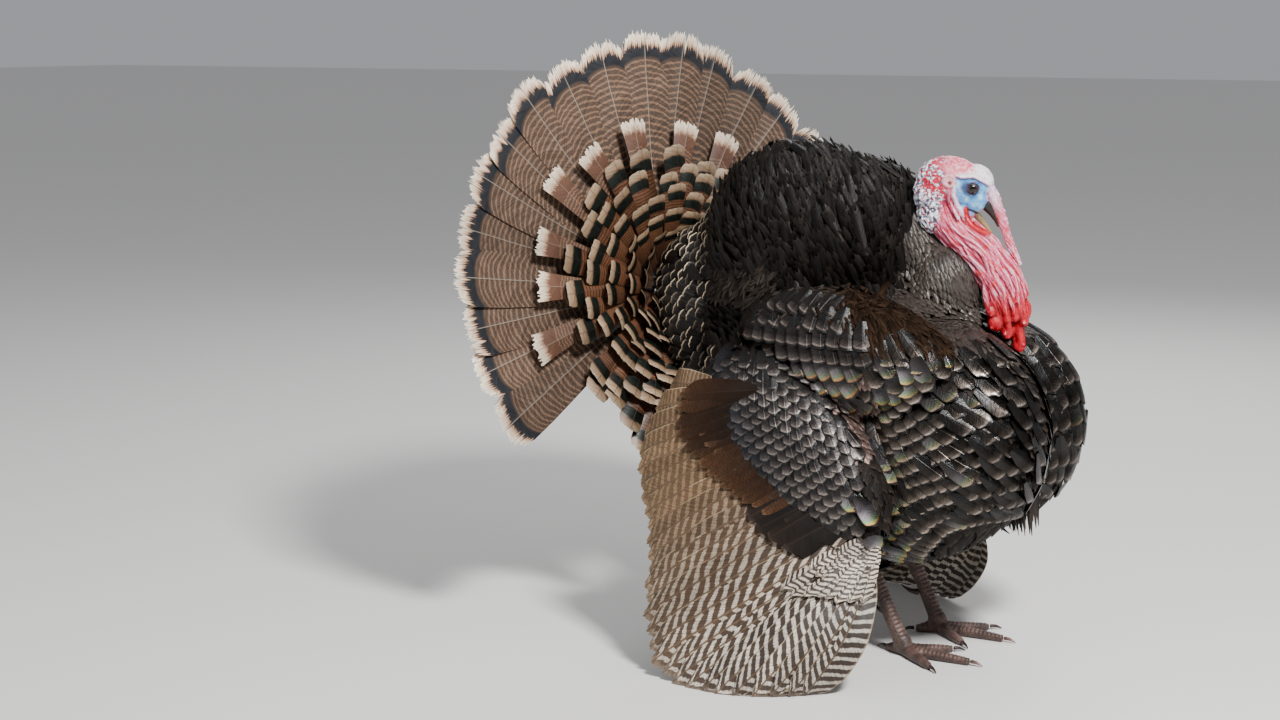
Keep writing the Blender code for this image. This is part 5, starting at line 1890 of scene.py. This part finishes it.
def growBeard(vanes, paint):
    # long bristles that hang from the middle of the breast
    spec = beardSpread
    draws = np.random.default_rng(81)
    plan = newPlan()
    for _ in range(spec["strands"]):
        away = draws.uniform(-1, 1, 2)
        outward = Vector((0.6 + away[0], away[1], 0.15)).normalized()
        length = draws.uniform(*spec["length"])
        root = Vector(spec["root"]) + Vector((away[0] * spec["girth"][0], away[1] * spec["girth"][1], 0))
        hang = Vector((0.03 + 0.08 * away[0], 0.07 * away[1], -1)).normalized()
        tip = bodyPoint(*(root + hang * length))
        plant(plan, tip, outward, hang, length, spec["width"], 0.0, 0.0, draws)
    growCoat("beard_strands", plan, vanes, paint, "plumage", "beard")


vanesOf = {name: templates(name, tract["shape"]) for name, tract in plumage.items()}
paintOf = {name: featherPaint(f"{name}Paint", tract["look"]) for name, tract in plumage.items()}
for word, side in sides:
    growBreast(word, side, vanesOf["breast"], paintOf["breast"])
    growScapulars(word, side, vanesOf["scapular"], paintOf["scapular"])
    growWingScales(word, side, vanesOf["scale"], paintOf["scale"])
    growWingCoverts(word, side)
vanesOf["cape"], paintOf["cape"] = vanesOf["breast"], paintOf["breast"]
growFillers(vanesOf, paintOf)
growBeard(vanesOf["beard"], paintOf["beard"])
for spare in spareObjects:
    bpy.data.objects.remove(spare)


# Stage: camera, floor and soft light

stageLayout = {
    "cameraPlace": (1.211, -2.788, 0.89),
    "cameraAim": (-0.494, 0.855, -0.157),
    "lens": 60,
    "floorSize": 60,
    "key": {"place": (1.9, -1.7, 2.8), "size": 0.55, "power": 225},
    "fill": {"place": (-2.0, -2.6, 1.5), "size": 2.6, "power": 15},
    "rim": {"place": (-0.6, 2.6, 2.4), "size": 1.8, "power": 45},
    "sky": 0.38,
}


def buildStage():
    spec = stageLayout
    camera = bpy.data.objects.new("camera", bpy.data.cameras.new("camera"))
    camera.data.lens = spec["lens"]
    camera.data.sensor_width = 36
    camera.location = bodyPoint(*spec["cameraPlace"])
    camera.rotation_euler = Vector(spec["cameraAim"]).to_track_quat("-Z", "Y").to_euler()
    bpy.context.scene.collection.objects.link(camera)
    bpy.context.scene.camera = camera
    shape = bmesh.new()
    bmesh.ops.create_grid(shape, x_segments=2, y_segments=2, size=spec["floorSize"] / 2)
    floor = objectOf(shape, "floor")
    paint, _, shader = newMaterial("floorPaint")
    shader["Base Color"].default_value = (0.8, 0.785, 0.76, 1)
    shader["Roughness"].default_value = 0.85
    floor.data.materials.append(paint)
    for name in ("key", "fill", "rim"):
        light = bpy.data.objects.new(name, bpy.data.lights.new(name, "AREA"))
        light.data.size = spec[name]["size"]
        light.data.energy = spec[name]["power"]
        light.location = bodyPoint(*spec[name]["place"])
        aim = bodyPoint(0, 0, 0.4) - light.location
        light.rotation_euler = aim.to_track_quat("-Z", "Y").to_euler()
        bpy.context.scene.collection.objects.link(light)
    world = bpy.data.worlds.new("sky")
    world.use_nodes = True
    world.node_tree.nodes["Background"].inputs[0].default_value = (0.93, 0.95, 1.0, 1)
    world.node_tree.nodes["Background"].inputs[1].default_value = spec["sky"]
    bpy.context.scene.world = world


buildStage()
print("done")
